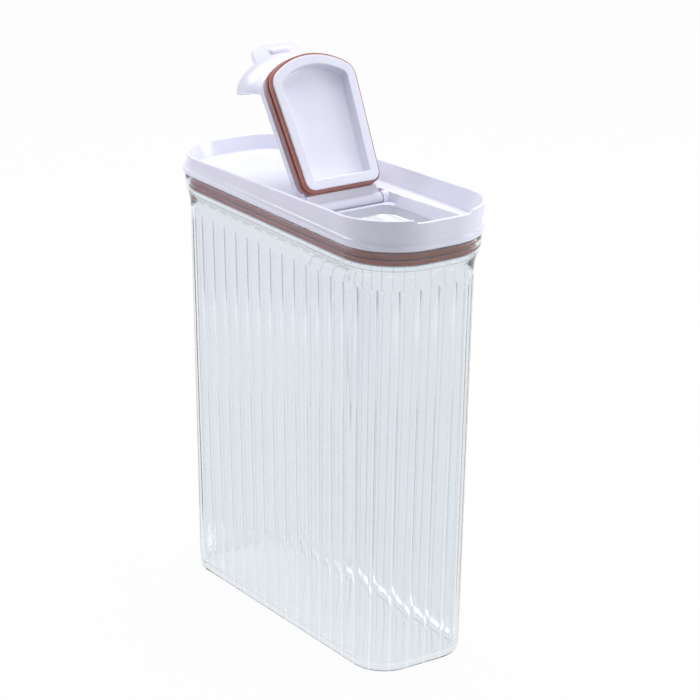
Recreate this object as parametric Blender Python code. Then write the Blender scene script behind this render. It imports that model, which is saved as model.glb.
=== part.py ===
"""Cereal dispenser: a clear fluted container, a lift-off lid and a flip pouring cap.

Metres, +Z up, the pouring end faces +X and the origin is at the middle of the base.
The cap is modelled shut, about its hinge axis, and stands open on a turned empty.
"""
import math

import bmesh
import bpy
from mathutils import Vector

MM = 0.001
GAP = 0.3 * MM

# Container: the neck's outer plan, the body under it and the base
NECK_HALF_LENGTH = 96.5 * MM
NECK_HALF_WIDTH = 37.8 * MM
NECK_CORNER = 30.5 * MM
NECK_WALL = 2.0 * MM
NECK_TOP = 221.5 * MM
NECK_FOOT = 213.0 * MM
NECK_EDGE = 0.6 * MM
SHOULDER_MIDDLE = 209.0 * MM
SHOULDER_FOOT = 205.0 * MM
BODY_INSET = 3.3 * MM
BASE_HALF_LENGTH = 88.8 * MM
BASE_HALF_WIDTH = 31.2 * MM
BASE_CORNER = 19.0 * MM
BASE_EDGE = 4.0 * MM
BASE_THICKNESS = 3.2 * MM
BODY_WALL = 2.2 * MM
FLUTES = 44
FLUTE_DEPTH = 0.9 * MM
FLUTE_POINTS = 3
FLUTE_FADE = 7.0 * MM

# Lid: heights at the back and at the front, because its rim and floor rise to the pouring end
RIM_BACK = 230.3 * MM
RIM_FRONT = 237.5 * MM
FLOOR_BACK = 222.0 * MM
FLOOR_FRONT = 226.6 * MM
FLOOR_THICKNESS = 2.0 * MM
FLANGE_REACH = 1.3 * MM
FLANGE_UNDERSIDE = NECK_TOP + GAP
RIM_WALL = 1.6 * MM
RIM_FLARE_BACK = -0.9 * MM
RIM_FLARE_FRONT = 1.6 * MM
WALL_FOOT = 4.6 * MM
CORNER_POINTS = 9
NOTCH_HALF_WIDTH = 15.4 * MM
NOTCH_SLOPE = 1.6 * MM
NOTCH_FLOOR = 236.2 * MM

# Pocket in the lid: hinge trough, funnel and pouring opening
TROUGH_BACK = 6.3 * MM
TROUGH_FRONT = 3.6 * MM
TROUGH_HALF_WIDTH = 25.6 * MM
TROUGH_FLOOR = 218.3 * MM
TUB_WALL = 1.3 * MM
OPENING_EDGE = 220.0 * MM
OPENING_SEAT = 219.2 * MM
OPENING_CLEARANCE = 0.95 * MM
FUNNEL_SPREAD = 3.6 * MM
FUNNEL_TOP = 226.8 * MM

# Underplate: closes the lid from below and carries the gasket and the opening's collar
PLUG_INSET = 4.6 * MM
PLUG_WALL = 1.3 * MM
PLUG_LIP_INSET = 2.6 * MM
PLUG_BOTTOM = 213.6 * MM
PLUG_LIP_TOP = 214.3 * MM
PLUG_FLOOR_UNDERSIDE = 215.2 * MM
PLUG_FLOOR = 216.6 * MM
COLLAR_TOP = OPENING_SEAT - GAP
COLLAR_WALL = 1.6 * MM

# Lid gasket: two lips with a groove between
GASKET_TIP_INSET = NECK_WALL + 0.35 * MM
GASKET_BOTTOM = PLUG_LIP_TOP + GAP
GASKET_HEIGHT = 5.4 * MM
GASKET_SEAT_INSET = PLUG_INSET - GAP
LIP_ROUND = 0.45 * MM
GROOVE_DEPTH = 1.1 * MM
GROOVE_HEIGHT = 1.0 * MM

# Hinge axis, along Y
HINGE_X = 13.4 * MM
HINGE_Z = 221.75 * MM
PIN_RADIUS = 1.3 * MM
PIN_HALF_LENGTH = 25.0 * MM
BORE_RADIUS = PIN_RADIUS + 0.35 * MM
EAR_RADIUS = 3.2 * MM
EAR_INSIDE = 22.0 * MM
EAR_OUTSIDE = TROUGH_HALF_WIDTH + TUB_WALL / 2
ROUND_SIDES = 24
CAP_OPEN = math.radians(120.0)

# Cap: plan of its seal, measured from the hinge axis along the cap
CAP_START = 7.5 * MM
CAP_LENGTH = 69.0 * MM
CAP_HINGE_HALF_WIDTH = 22.0 * MM
CAP_FRONT_HALF_WIDTH = 25.2 * MM
CAP_ARCH = 9.9 * MM
CAP_HINGE_CORNER = 5.6 * MM
CAP_FRONT_CORNER = 9.1 * MM
ARC_POINTS = 6
ARCH_POINTS = 9

# Cap: heights above the hinge axis when the cap is shut
SEAL_BOTTOM = -5.2 * MM
SEAL_TOP = 0.15 * MM
SEAL_SEAT_INSET = 2.6 * MM
SEAL_FRONT_REACH = 0.3 * MM
SEAL_BACK_REACH = 0.6 * MM
PLUG_FACE = -6.2 * MM
PLUG_FLANGE_TOP = SEAL_BOTTOM - GAP
PLUG_FLANGE_INSET = 0.7 * MM
PLUG_RADIUS = 0.5 * MM
LINER_INSET = 2.9 * MM
LINER_TOP = 5.2 * MM
RECESS_INSET = 5.7 * MM
RECESS_DRAFT = 0.3 * MM
RECESS_TOP = 3.0 * MM
SKIRT_BOTTOM = SEAL_TOP + GAP
SKIRT_WALL = 2.0 * MM
PLATE_UNDERSIDE = LINER_TOP + GAP
PLATE_TOP = 7.2 * MM
LIP_UNDERSIDE = 15.4 * MM
LIP_TOP = 17.6 * MM
LIP_REACH = 7.6 * MM
FLARE_POINTS = 6
RAMP_START = 59.0 * MM
RAMP_END = 73.0 * MM
RAMP_POINTS = 8
ARM_HALF_WIDTH = 20.4 * MM
BARREL_RADIUS = 3.0 * MM
TAB_HALF_WIDTH = 15.2 * MM
TAB_END = 91.4 * MM
TAB_CORNER = 8.0 * MM
TAB_UNDERSIDE = 17.3 * MM
TAB_RISE = 3.0 * MM
TAB_THICKNESS = 2.2 * MM
TAB_RIB_X = 86.4 * MM
TAB_RIB_HALF_LENGTH = 6.2 * MM
TAB_RIB_RADIUS = 1.6 * MM

# Far enough past the object for a cut to run clear through it
CLEAR = 60.0 * MM

# Finish of each piece: colour, roughness and how much light it lets through
CLEAR_PLASTIC = ((0.86, 0.89, 0.92), 0.08, 0.9)
WHITE_PLASTIC = ((0.90, 0.90, 0.95), 0.25, 0.0)
ROSE_SILICONE = ((0.46, 0.21, 0.18), 0.55, 0.0)
PIN_STEEL = ((0.62, 0.62, 0.64), 0.30, 0.0)


def clear_scene():
    """Remove every object that the file holds."""
    for old in list(bpy.data.objects):
        bpy.data.objects.remove(old, do_unlink=True)


def new_collection(name):
    """Return a new collection linked to the scene."""
    made = bpy.data.collections.new(name)
    bpy.context.scene.collection.children.link(made)
    return made


def make_material(name, finish, metallic=0.0):
    """Return a Principled material of one of the finishes above."""
    colour, roughness, transmission = finish
    material = bpy.data.materials.new(name)
    material.use_nodes = True
    shader = material.node_tree.nodes["Principled BSDF"]
    shader.inputs["Base Color"].default_value = (*colour, 1.0)
    shader.inputs["Roughness"].default_value = roughness
    shader.inputs["Metallic"].default_value = metallic
    shader.inputs["Transmission Weight"].default_value = transmission
    material.diffuse_color = (*colour, 1.0)
    return material


def arc(centre, radius, start, end, count):
    """Return count plan points on an arc, both ends included."""
    points = []
    for index in range(count):
        angle = start + (end - start) * index / (count - 1)
        points.append(Vector((centre.x + radius * math.cos(angle), centre.y + radius * math.sin(angle))))
    return points


def box_plan(half_length, half_width, corner):
    """Return the plan of a box with round corners, anticlockwise from the front corner at +Y."""
    points = []
    for index, (side_x, side_y) in enumerate(((1, 1), (-1, 1), (-1, -1), (1, -1))):
        centre = Vector((side_x * (half_length - corner), side_y * (half_width - corner)))
        points += arc(centre, corner, index * math.pi / 2, (index + 1) * math.pi / 2, CORNER_POINTS)
    return points


def neck_plan(offset_back, offset_front=None):
    """Return the neck's outer plan, offset by a length that can change from back to front."""
    if offset_front is None:
        offset_front = offset_back
    points = []
    back = box_plan(NECK_HALF_LENGTH + offset_back, NECK_HALF_WIDTH + offset_back, NECK_CORNER + offset_back)
    front = box_plan(NECK_HALF_LENGTH + offset_front, NECK_HALF_WIDTH + offset_front,
                     NECK_CORNER + offset_front)
    for plain, back_point, front_point in zip(box_plan(NECK_HALF_LENGTH, NECK_HALF_WIDTH, NECK_CORNER),
                                              back, front):
        share = (plain.x / NECK_HALF_LENGTH + 1) / 2
        points.append(back_point.lerp(front_point, share))
    return points


def raise_plan(points, height_back, height_front=None):
    """Lift plan points to a height that can change evenly from the neck's back to its front."""
    if height_front is None:
        height_front = height_back
    ring = []
    for point in points:
        share = (point.x / NECK_HALF_LENGTH + 1) / 2
        ring.append(Vector((point.x, point.y, height_back + (height_front - height_back) * share)))
    return ring


def plan_walk(half_length, half_width, corner, share):
    """Return the point and outward normal at a share of the way round a box plan, from the front."""
    end_run = half_width - corner
    side_run = 2 * (half_length - corner)
    quarter = math.pi / 2 * corner
    pieces = (end_run, quarter, side_run, quarter, 2 * end_run, quarter, side_run, quarter, end_run)
    distance = (share % 1.0) * sum(pieces)
    corners = ((1, 1), (-1, 1), (-1, -1), (1, -1))
    for index, length in enumerate(pieces):
        if distance <= length or index == len(pieces) - 1:
            break
        distance -= length
    turn = (index + 1) // 2
    heading = turn * math.pi / 2
    if index % 2:
        side_x, side_y = corners[index // 2]
        angle = (index // 2) * math.pi / 2 + distance / corner
        normal = Vector((math.cos(angle), math.sin(angle)))
        return Vector((side_x * (half_length - corner), side_y * (half_width - corner))) + normal * corner, normal
    normal = Vector((math.cos(heading), math.sin(heading)))
    along = Vector((-normal.y, normal.x))
    starts = (Vector((half_length, 0)), Vector((half_length - corner, half_width)),
              Vector((-half_length, half_width - corner)), Vector((-half_length + corner, -half_width)),
              Vector((half_length, -half_width + corner)))
    return starts[index // 2] + along * distance, normal


def fluted_ring(half_length, half_width, corner, height, strength):
    """Return a ring of the container whose flutes are cut to a share of their full depth."""
    ring = []
    count = FLUTES * FLUTE_POINTS
    for index in range(count):
        point, normal = plan_walk(half_length, half_width, corner, index / count)
        if index % FLUTE_POINTS == 0:
            point = point - normal * FLUTE_DEPTH * strength
        ring.append(Vector((point.x, point.y, height)))
    return ring


def cap_plan(offset):
    """Return the cap's plan, offset outwards, as (x, y) from the hinge axis.

    The hinge end is square with round corners, the sides spread a little and the far end is an arch.
    """
    run = CAP_LENGTH - CAP_ARCH
    slant = math.atan2(CAP_FRONT_HALF_WIDTH - CAP_HINGE_HALF_WIDTH, run)
    arch_radius = (CAP_FRONT_HALF_WIDTH ** 2 + CAP_ARCH ** 2) / (2 * CAP_ARCH)
    arch_x = CAP_LENGTH - arch_radius
    hinge_y = CAP_HINGE_HALF_WIDTH - CAP_HINGE_CORNER * (1 - math.sin(slant)) / math.cos(slant)
    # The far corner's centre lies one corner radius inside the side and inside the arch
    slope = math.tan(slant)
    base = CAP_HINGE_HALF_WIDTH - CAP_FRONT_CORNER / math.cos(slant)
    inner = arch_radius - CAP_FRONT_CORNER
    a = 1 + slope ** 2
    b = 2 * (slope * base - arch_x)
    c = arch_x ** 2 + base ** 2 - inner ** 2
    front_x = (-b + math.sqrt(b * b - 4 * a * c)) / (2 * a)
    front_y = slope * front_x + base
    lean = math.atan2(front_y, front_x - arch_x)
    side = math.pi / 2 + slant
    hinge_centre = Vector((CAP_START + CAP_HINGE_CORNER, hinge_y))
    front_centre = Vector((CAP_START + front_x, front_y))
    arch_centre = Vector((CAP_START + arch_x, 0))
    half = arc(arch_centre, arch_radius + offset, 0.0, lean, ARCH_POINTS)
    half += arc(front_centre, CAP_FRONT_CORNER + offset, lean, side, ARC_POINTS)[1:]
    half += arc(hinge_centre, CAP_HINGE_CORNER + offset, side, math.pi, ARC_POINTS)
    mirrored = [Vector((point.x, -point.y)) for point in reversed(half[1:])]
    return half + mirrored


def cap_ring(offset, height):
    """Return the cap's plan at a height above the hinge axis."""
    return [Vector((point.x, point.y, height)) for point in cap_plan(offset)]


def loft(name, rings, closed=False):
    """Return a mesh through rings of equal counts, closed into a loop or capped at both ends."""
    mesh = bpy.data.meshes.new(name)
    shape = bmesh.new()
    loops = [[shape.verts.new(point) for point in ring] for ring in rings]
    pairs = list(zip(loops, loops[1:]))
    if closed:
        pairs.append((loops[-1], loops[0]))
    for low, high in pairs:
        for index, corner in enumerate(low):
            after = (index + 1) % len(low)
            shape.faces.new((corner, low[after], high[after], high[index]))
    if not closed:
        shape.faces.new(list(reversed(loops[0])))
        shape.faces.new(loops[-1])
    bmesh.ops.recalc_face_normals(shape, faces=shape.faces)
    shape.to_mesh(mesh)
    shape.free()
    return mesh


def extrusion(name, outline, depth):
    """Return a mesh of a flat outline of 3D points pushed along a vector."""
    mesh = bpy.data.meshes.new(name)
    shape = bmesh.new()
    face = shape.faces.new([shape.verts.new(point) for point in outline])
    pushed = bmesh.ops.extrude_face_region(shape, geom=[face])["geom"]
    bmesh.ops.translate(shape, vec=depth, verts=[item for item in pushed if isinstance(item, bmesh.types.BMVert)])
    bmesh.ops.recalc_face_normals(shape, faces=shape.faces)
    shape.to_mesh(mesh)
    shape.free()
    return mesh


def side_extrusion(name, profile, half_width):
    """Return a mesh of a side profile of (x, z) points, pushed across the width."""
    outline = [Vector((x, -half_width, z)) for x, z in profile]
    return extrusion(name, outline, Vector((0, 2 * half_width, 0)))


def block(name, low, high):
    """Return a box mesh between two corners."""
    mesh = bpy.data.meshes.new(name)
    shape = bmesh.new()
    bmesh.ops.create_cube(shape, size=1.0)
    size = high - low
    bmesh.ops.scale(shape, vec=size, verts=shape.verts)
    bmesh.ops.translate(shape, vec=(low + high) / 2, verts=shape.verts)
    shape.to_mesh(mesh)
    shape.free()
    return mesh


def rod(name, radius, low_y, high_y, centre_x=0.0, centre_z=0.0):
    """Return a round bar mesh along Y."""
    outline = []
    for index in range(ROUND_SIDES):
        angle = 2 * math.pi * index / ROUND_SIDES
        outline.append(Vector((centre_x + radius * math.cos(angle), low_y, centre_z + radius * math.sin(angle))))
    return extrusion(name, outline, Vector((0, high_y - low_y, 0)))


def add_part(name, mesh, collection, material, parent=None):
    """Link a mesh as a named sub-part, on its parent empty where it has one."""
    part = bpy.data.objects.new(name, mesh)
    collection.objects.link(part)
    part.data.materials.append(material)
    part.parent = parent
    return part


def add_tool(name, mesh, collection, parent=None):
    """Link a mesh as a hidden cutter or joiner."""
    tool = bpy.data.objects.new(name, mesh)
    collection.objects.link(tool)
    tool.hide_render = True
    tool.display_type = "WIRE"
    tool.parent = parent
    return tool


def combine(part, operation, tool):
    """Add a Boolean modifier that joins, cuts or keeps what a tool covers."""
    modifier = part.modifiers.new(f"{operation.lower()} {tool.name}", "BOOLEAN")
    modifier.operation = operation
    modifier.object = tool
    modifier.solver = "EXACT"


def add_empty(name, location, collection, parent=None):
    """Add an empty that carries sub-parts."""
    empty = bpy.data.objects.new(name, None)
    empty.location = location
    collection.objects.link(empty)
    empty.parent = parent
    return empty


def smooth(part, angle=35.0):
    """Shade a mesh smooth, with its hard edges kept."""
    part.data.shade_smooth()
    part.data.set_sharp_from_angle(angle=math.radians(angle))


def build_container(collection, material):
    """Build the clear container as one walled shell, from the base up the outside and down the inside."""
    top = (NECK_HALF_LENGTH - BODY_INSET, NECK_HALF_WIDTH - BODY_INSET, NECK_CORNER - BODY_INSET)
    base = (BASE_HALF_LENGTH, BASE_HALF_WIDTH, BASE_CORNER)

    def inset(plan, amount):
        return [size - amount for size in plan]

    def neck(amount):
        return inset((NECK_HALF_LENGTH, NECK_HALF_WIDTH, NECK_CORNER), amount)

    turn = BASE_EDGE * (1 - math.cos(math.pi / 4))
    shoulder = BODY_INSET * 0.72
    rings = [
        fluted_ring(*inset(base, BASE_EDGE), 0.0, 0.0),
        fluted_ring(*inset(base, turn), turn, 0.5),
        fluted_ring(*base, BASE_EDGE, 1.0),
        fluted_ring(*top, SHOULDER_FOOT - FLUTE_FADE, 1.0),
        fluted_ring(*top, SHOULDER_FOOT, 0.0),
        fluted_ring(*neck(shoulder), SHOULDER_MIDDLE, 0.0),
        fluted_ring(*neck(0.0), NECK_FOOT, 0.0),
        fluted_ring(*neck(0.0), NECK_TOP - NECK_EDGE, 0.0),
        fluted_ring(*neck(NECK_EDGE), NECK_TOP, 0.0),
        fluted_ring(*neck(NECK_WALL), NECK_TOP, 0.0),
        fluted_ring(*neck(NECK_WALL), NECK_FOOT, 0.0),
        fluted_ring(*inset(top, BODY_WALL), SHOULDER_FOOT, 0.0),
        fluted_ring(*inset(base, BODY_WALL), BASE_THICKNESS + BASE_EDGE, 0.0),
        fluted_ring(*inset(base, BODY_WALL + turn), BASE_THICKNESS + turn, 0.0),
        fluted_ring(*inset(base, BODY_WALL + BASE_EDGE), BASE_THICKNESS, 0.0),
    ]
    part = add_part("container", loft("container", rings), collection, material)
    smooth(part)
    return part


def build_lid_cover(collection, tools, material, lid):
    """Build the lid's upper moulding: flange, rising rim, tray floor, pocket, notch and hinge ears."""
    back = RIM_FLARE_BACK
    front = RIM_FLARE_FRONT
    foot = WALL_FOOT
    edge = 0.6 * MM
    rings = [
        raise_plan(neck_plan(-PLUG_INSET - GAP), FLOOR_BACK - FLOOR_THICKNESS, FLOOR_FRONT - FLOOR_THICKNESS),
        raise_plan(neck_plan(-PLUG_INSET), FLANGE_UNDERSIDE),
        raise_plan(neck_plan(FLANGE_REACH / 2), FLANGE_UNDERSIDE),
        raise_plan(neck_plan(FLANGE_REACH), FLANGE_UNDERSIDE + 1.0 * MM),
        raise_plan(neck_plan(FLANGE_REACH), FLANGE_UNDERSIDE + 2.4 * MM),
        raise_plan(neck_plan(back, 0.3 * MM), FLANGE_UNDERSIDE + foot),
        raise_plan(neck_plan(back, front), RIM_BACK - edge, RIM_FRONT - edge),
        raise_plan(neck_plan(back - edge, front - edge), RIM_BACK, RIM_FRONT),
        raise_plan(neck_plan(back - RIM_WALL, front - RIM_WALL), RIM_BACK, RIM_FRONT),
        raise_plan(neck_plan(-foot), FLOOR_BACK + edge, FLOOR_FRONT + edge),
        raise_plan(neck_plan(-foot - edge), FLOOR_BACK, FLOOR_FRONT),
    ]
    part = add_part("lid_cover", loft("lid_cover", rings), collection, material, lid)

    # Walls of the pocket under the tray floor
    funnel_tub = [
        cap_ring(COLLAR_WALL * 2, OPENING_SEAT - HINGE_Z),
        cap_ring(FUNNEL_SPREAD + COLLAR_WALL, FLOOR_FRONT - FLOOR_THICKNESS - HINGE_Z),
    ]
    hinge = Vector((HINGE_X, 0, HINGE_Z))
    tub = add_tool("funnel_tub", shifted(loft("funnel_tub", funnel_tub), hinge), tools, lid)
    inside = neck_plan(-PLUG_INSET - PLUG_WALL - 2 * GAP)
    limit = loft("tub_limit", [raise_plan(inside, PLUG_FLOOR), raise_plan(inside, RIM_FRONT)])
    combine(tub, "INTERSECT", add_tool("tub_limit", limit, tools, lid))
    combine(part, "UNION", tub)
    trough_low = Vector((HINGE_X - TROUGH_BACK, -TROUGH_HALF_WIDTH, TROUGH_FLOOR))
    trough_high = Vector((HINGE_X + TROUGH_FRONT, TROUGH_HALF_WIDTH, RIM_FRONT))
    wall = Vector((TUB_WALL, TUB_WALL, TUB_WALL))
    tub_high = Vector((trough_high.x, trough_high.y, FLOOR_BACK)) + wall
    trough_tub = add_tool("trough_tub", block("trough_tub", trough_low - wall, tub_high), tools, lid)
    combine(part, "UNION", trough_tub)
    sill_low = Vector((trough_high.x, trough_low.y - TUB_WALL, OPENING_SEAT))
    sill_high = Vector((HINGE_X + CAP_START + FUNNEL_SPREAD, trough_high.y, FLOOR_BACK)) + wall
    combine(part, "UNION", add_tool("sill", block("sill", sill_low, sill_high), tools, lid))

    # Cuts: trough, the window from it to the funnel, funnel, opening and rim notch
    combine(part, "DIFFERENCE", add_tool("trough", block("trough", trough_low, trough_high), tools, lid))
    window_low = Vector((trough_low.x, trough_low.y, OPENING_EDGE))
    window_high = Vector((HINGE_X + CAP_START + FUNNEL_SPREAD, trough_high.y, RIM_FRONT))
    combine(part, "DIFFERENCE", add_tool("window", block("window", window_low, window_high), tools, lid))
    funnel = [
        cap_ring(OPENING_CLEARANCE, OPENING_EDGE - HINGE_Z),
        cap_ring(OPENING_CLEARANCE + FUNNEL_SPREAD, FUNNEL_TOP - HINGE_Z),
    ]
    combine(part, "DIFFERENCE", add_tool("funnel", shifted(loft("funnel", funnel), hinge), tools, lid))
    opening = [cap_ring(OPENING_CLEARANCE, -CLEAR), cap_ring(OPENING_CLEARANCE, CLEAR)]
    combine(part, "DIFFERENCE", add_tool("opening", shifted(loft("opening", opening), hinge), tools, lid))
    notch = [
        Vector((NECK_HALF_LENGTH - foot * 2, -NOTCH_HALF_WIDTH, NOTCH_FLOOR)),
        Vector((NECK_HALF_LENGTH - foot * 2, NOTCH_HALF_WIDTH, NOTCH_FLOOR)),
        Vector((NECK_HALF_LENGTH - foot * 2, NOTCH_HALF_WIDTH + NOTCH_SLOPE * 2, NOTCH_FLOOR + NOTCH_SLOPE * 2)),
        Vector((NECK_HALF_LENGTH - foot * 2, -NOTCH_HALF_WIDTH - NOTCH_SLOPE * 2, NOTCH_FLOOR + NOTCH_SLOPE * 2)),
    ]
    notch_mesh = extrusion("notch", notch, Vector((foot * 4, 0, 0)))
    combine(part, "DIFFERENCE", add_tool("notch", notch_mesh, tools, lid))

    # Hinge ears, one each side of the cap's barrel, with the pin's bore through both
    for side, name in ((1, "left"), (-1, "right")):
        low_y, high_y = sorted((side * EAR_INSIDE, side * EAR_OUTSIDE))
        crown = arc(Vector((HINGE_X, HINGE_Z)), EAR_RADIUS, 0.0, math.pi, ROUND_SIDES // 2 + 1)
        foot_z = TROUGH_FLOOR - TUB_WALL / 2
        profile = [Vector((HINGE_X + EAR_RADIUS, foot_z)), *crown, Vector((HINGE_X - EAR_RADIUS, foot_z))]
        outline = [Vector((point.x, low_y, point.y)) for point in profile]
        ear = extrusion(f"ear_{name}", outline, Vector((0, high_y - low_y, 0)))
        combine(part, "UNION", add_tool(f"ear_{name}", ear, tools, lid))
    bore_reach = PIN_HALF_LENGTH + GAP
    bore = rod("lid_bore", BORE_RADIUS, -bore_reach, bore_reach, HINGE_X, HINGE_Z)
    combine(part, "DIFFERENCE", add_tool("lid_bore", bore, tools, lid))
    return part


def shifted(mesh, offset):
    """Move a mesh's points by a vector and return it."""
    for vertex in mesh.vertices:
        vertex.co += offset
    return mesh


def build_lid_underplate(collection, tools, material, lid):
    """Build the lid's lower moulding: plug wall, gasket lip, floor and the opening's collar."""
    hinge = Vector((HINGE_X, 0, HINGE_Z))
    top_back = FLOOR_BACK - FLOOR_THICKNESS - GAP
    top_front = FLANGE_UNDERSIDE - GAP
    rings = [
        raise_plan(neck_plan(-PLUG_LIP_INSET), PLUG_BOTTOM),
        raise_plan(neck_plan(-PLUG_LIP_INSET), PLUG_LIP_TOP),
        raise_plan(neck_plan(-PLUG_INSET), PLUG_LIP_TOP),
        raise_plan(neck_plan(-PLUG_INSET - GAP), top_back, top_front),
    ]
    part = add_part("lid_underplate", loft("lid_underplate", rings), collection, material, lid)
    inner = neck_plan(-PLUG_INSET - GAP - PLUG_WALL)
    hollow_mesh = loft("plug_hollow", [raise_plan(inner, PLUG_FLOOR), raise_plan(inner, RIM_FRONT)])
    hollow = add_tool("plug_hollow", hollow_mesh, tools, lid)
    collar_offset = OPENING_CLEARANCE + COLLAR_WALL
    collar_rings = [cap_ring(collar_offset, -CLEAR), cap_ring(collar_offset, COLLAR_TOP - HINGE_Z)]
    collar = add_tool("collar", shifted(loft("collar", collar_rings), hinge), tools, lid)
    combine(hollow, "DIFFERENCE", collar)
    combine(part, "DIFFERENCE", hollow)
    under_mesh = loft("plug_under", [raise_plan(inner, -CLEAR), raise_plan(inner, PLUG_FLOOR_UNDERSIDE)])
    combine(part, "DIFFERENCE", add_tool("plug_under", under_mesh, tools, lid))
    opening = [cap_ring(OPENING_CLEARANCE, -CLEAR), cap_ring(OPENING_CLEARANCE, CLEAR)]
    way = add_tool("collar_opening", shifted(loft("collar_opening", opening), hinge), tools, lid)
    combine(part, "DIFFERENCE", way)
    return part


def lip_section(low_tip, high_tip, seat, bottom, top):
    """Return the section of a two-lipped seal as (offset, height) pairs, with the groove in its middle."""
    middle = (bottom + top) / 2
    groove = low_tip - GROOVE_DEPTH
    half = GROOVE_HEIGHT / 2
    return [
        (seat, bottom), (low_tip - LIP_ROUND, bottom), (low_tip, bottom + LIP_ROUND),
        (low_tip - LIP_ROUND / 3, middle - half - LIP_ROUND), (groove, middle - half),
        (groove, middle + half), (high_tip - LIP_ROUND / 3, middle + half + LIP_ROUND),
        (high_tip, top - LIP_ROUND), (high_tip - LIP_ROUND, top), (seat, top),
    ]


def build_lid_gasket(collection, material, lid):
    """Build the silicone ring that seals the lid in the neck."""
    tip = -GASKET_TIP_INSET
    section = lip_section(tip, tip, -GASKET_SEAT_INSET, GASKET_BOTTOM, GASKET_BOTTOM + GASKET_HEIGHT)
    rings = [raise_plan(neck_plan(offset), height) for offset, height in section]
    part = add_part("lid_gasket", loft("lid_gasket", rings, closed=True), collection, material, lid)
    smooth(part)
    return part


def build_cap_gasket(collection, material, cap):
    """Build the silicone ring round the cap's plug."""
    section = lip_section(SEAL_FRONT_REACH, SEAL_BACK_REACH, -SEAL_SEAT_INSET, SEAL_BOTTOM, SEAL_TOP)
    rings = [cap_ring(offset, height) for offset, height in section]
    part = add_part("cap_gasket", loft("cap_gasket", rings, closed=True), collection, material, cap)
    smooth(part)
    return part


def build_cap_liner(collection, material, cap):
    """Build the plug tray, from its recess floor round the plug face and up to its top."""
    rings = [
        cap_ring(-RECESS_INSET - RECESS_DRAFT - PLUG_RADIUS, RECESS_TOP),
        cap_ring(-RECESS_INSET - RECESS_DRAFT, RECESS_TOP - PLUG_RADIUS),
        cap_ring(-RECESS_INSET, PLUG_FACE + PLUG_RADIUS),
        cap_ring(-RECESS_INSET + PLUG_RADIUS, PLUG_FACE),
        cap_ring(-PLUG_FLANGE_INSET - PLUG_RADIUS, PLUG_FACE),
        cap_ring(-PLUG_FLANGE_INSET, PLUG_FACE + PLUG_RADIUS),
        cap_ring(-PLUG_FLANGE_INSET, PLUG_FLANGE_TOP),
        cap_ring(-LINER_INSET, PLUG_FLANGE_TOP),
        cap_ring(-LINER_INSET, LINER_TOP),
    ]
    part = add_part("cap_liner", loft("cap_liner", rings), collection, material, cap)
    smooth(part)
    return part


def ramp_height(share, low, high):
    """Return the height a share of the way up the smooth ramp to the lip."""
    return low + (high - low) * (1 - math.cos(math.pi * share)) / 2


def top_profile(drop, start_x):
    """Return the side profile under the cap's top surface, lowered by a wall thickness."""
    profile = [(start_x, PLATE_TOP - drop)]
    for index in range(RAMP_POINTS + 1):
        share = index / RAMP_POINTS
        x = RAMP_START + (RAMP_END - RAMP_START) * share
        profile.append((x, ramp_height(share, PLATE_TOP, LIP_TOP) - drop))
    profile.append((TAB_END + CLEAR, LIP_TOP - drop))
    profile.append((TAB_END + CLEAR, -CLEAR))
    profile.append((start_x, -CLEAR))
    return profile


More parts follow.
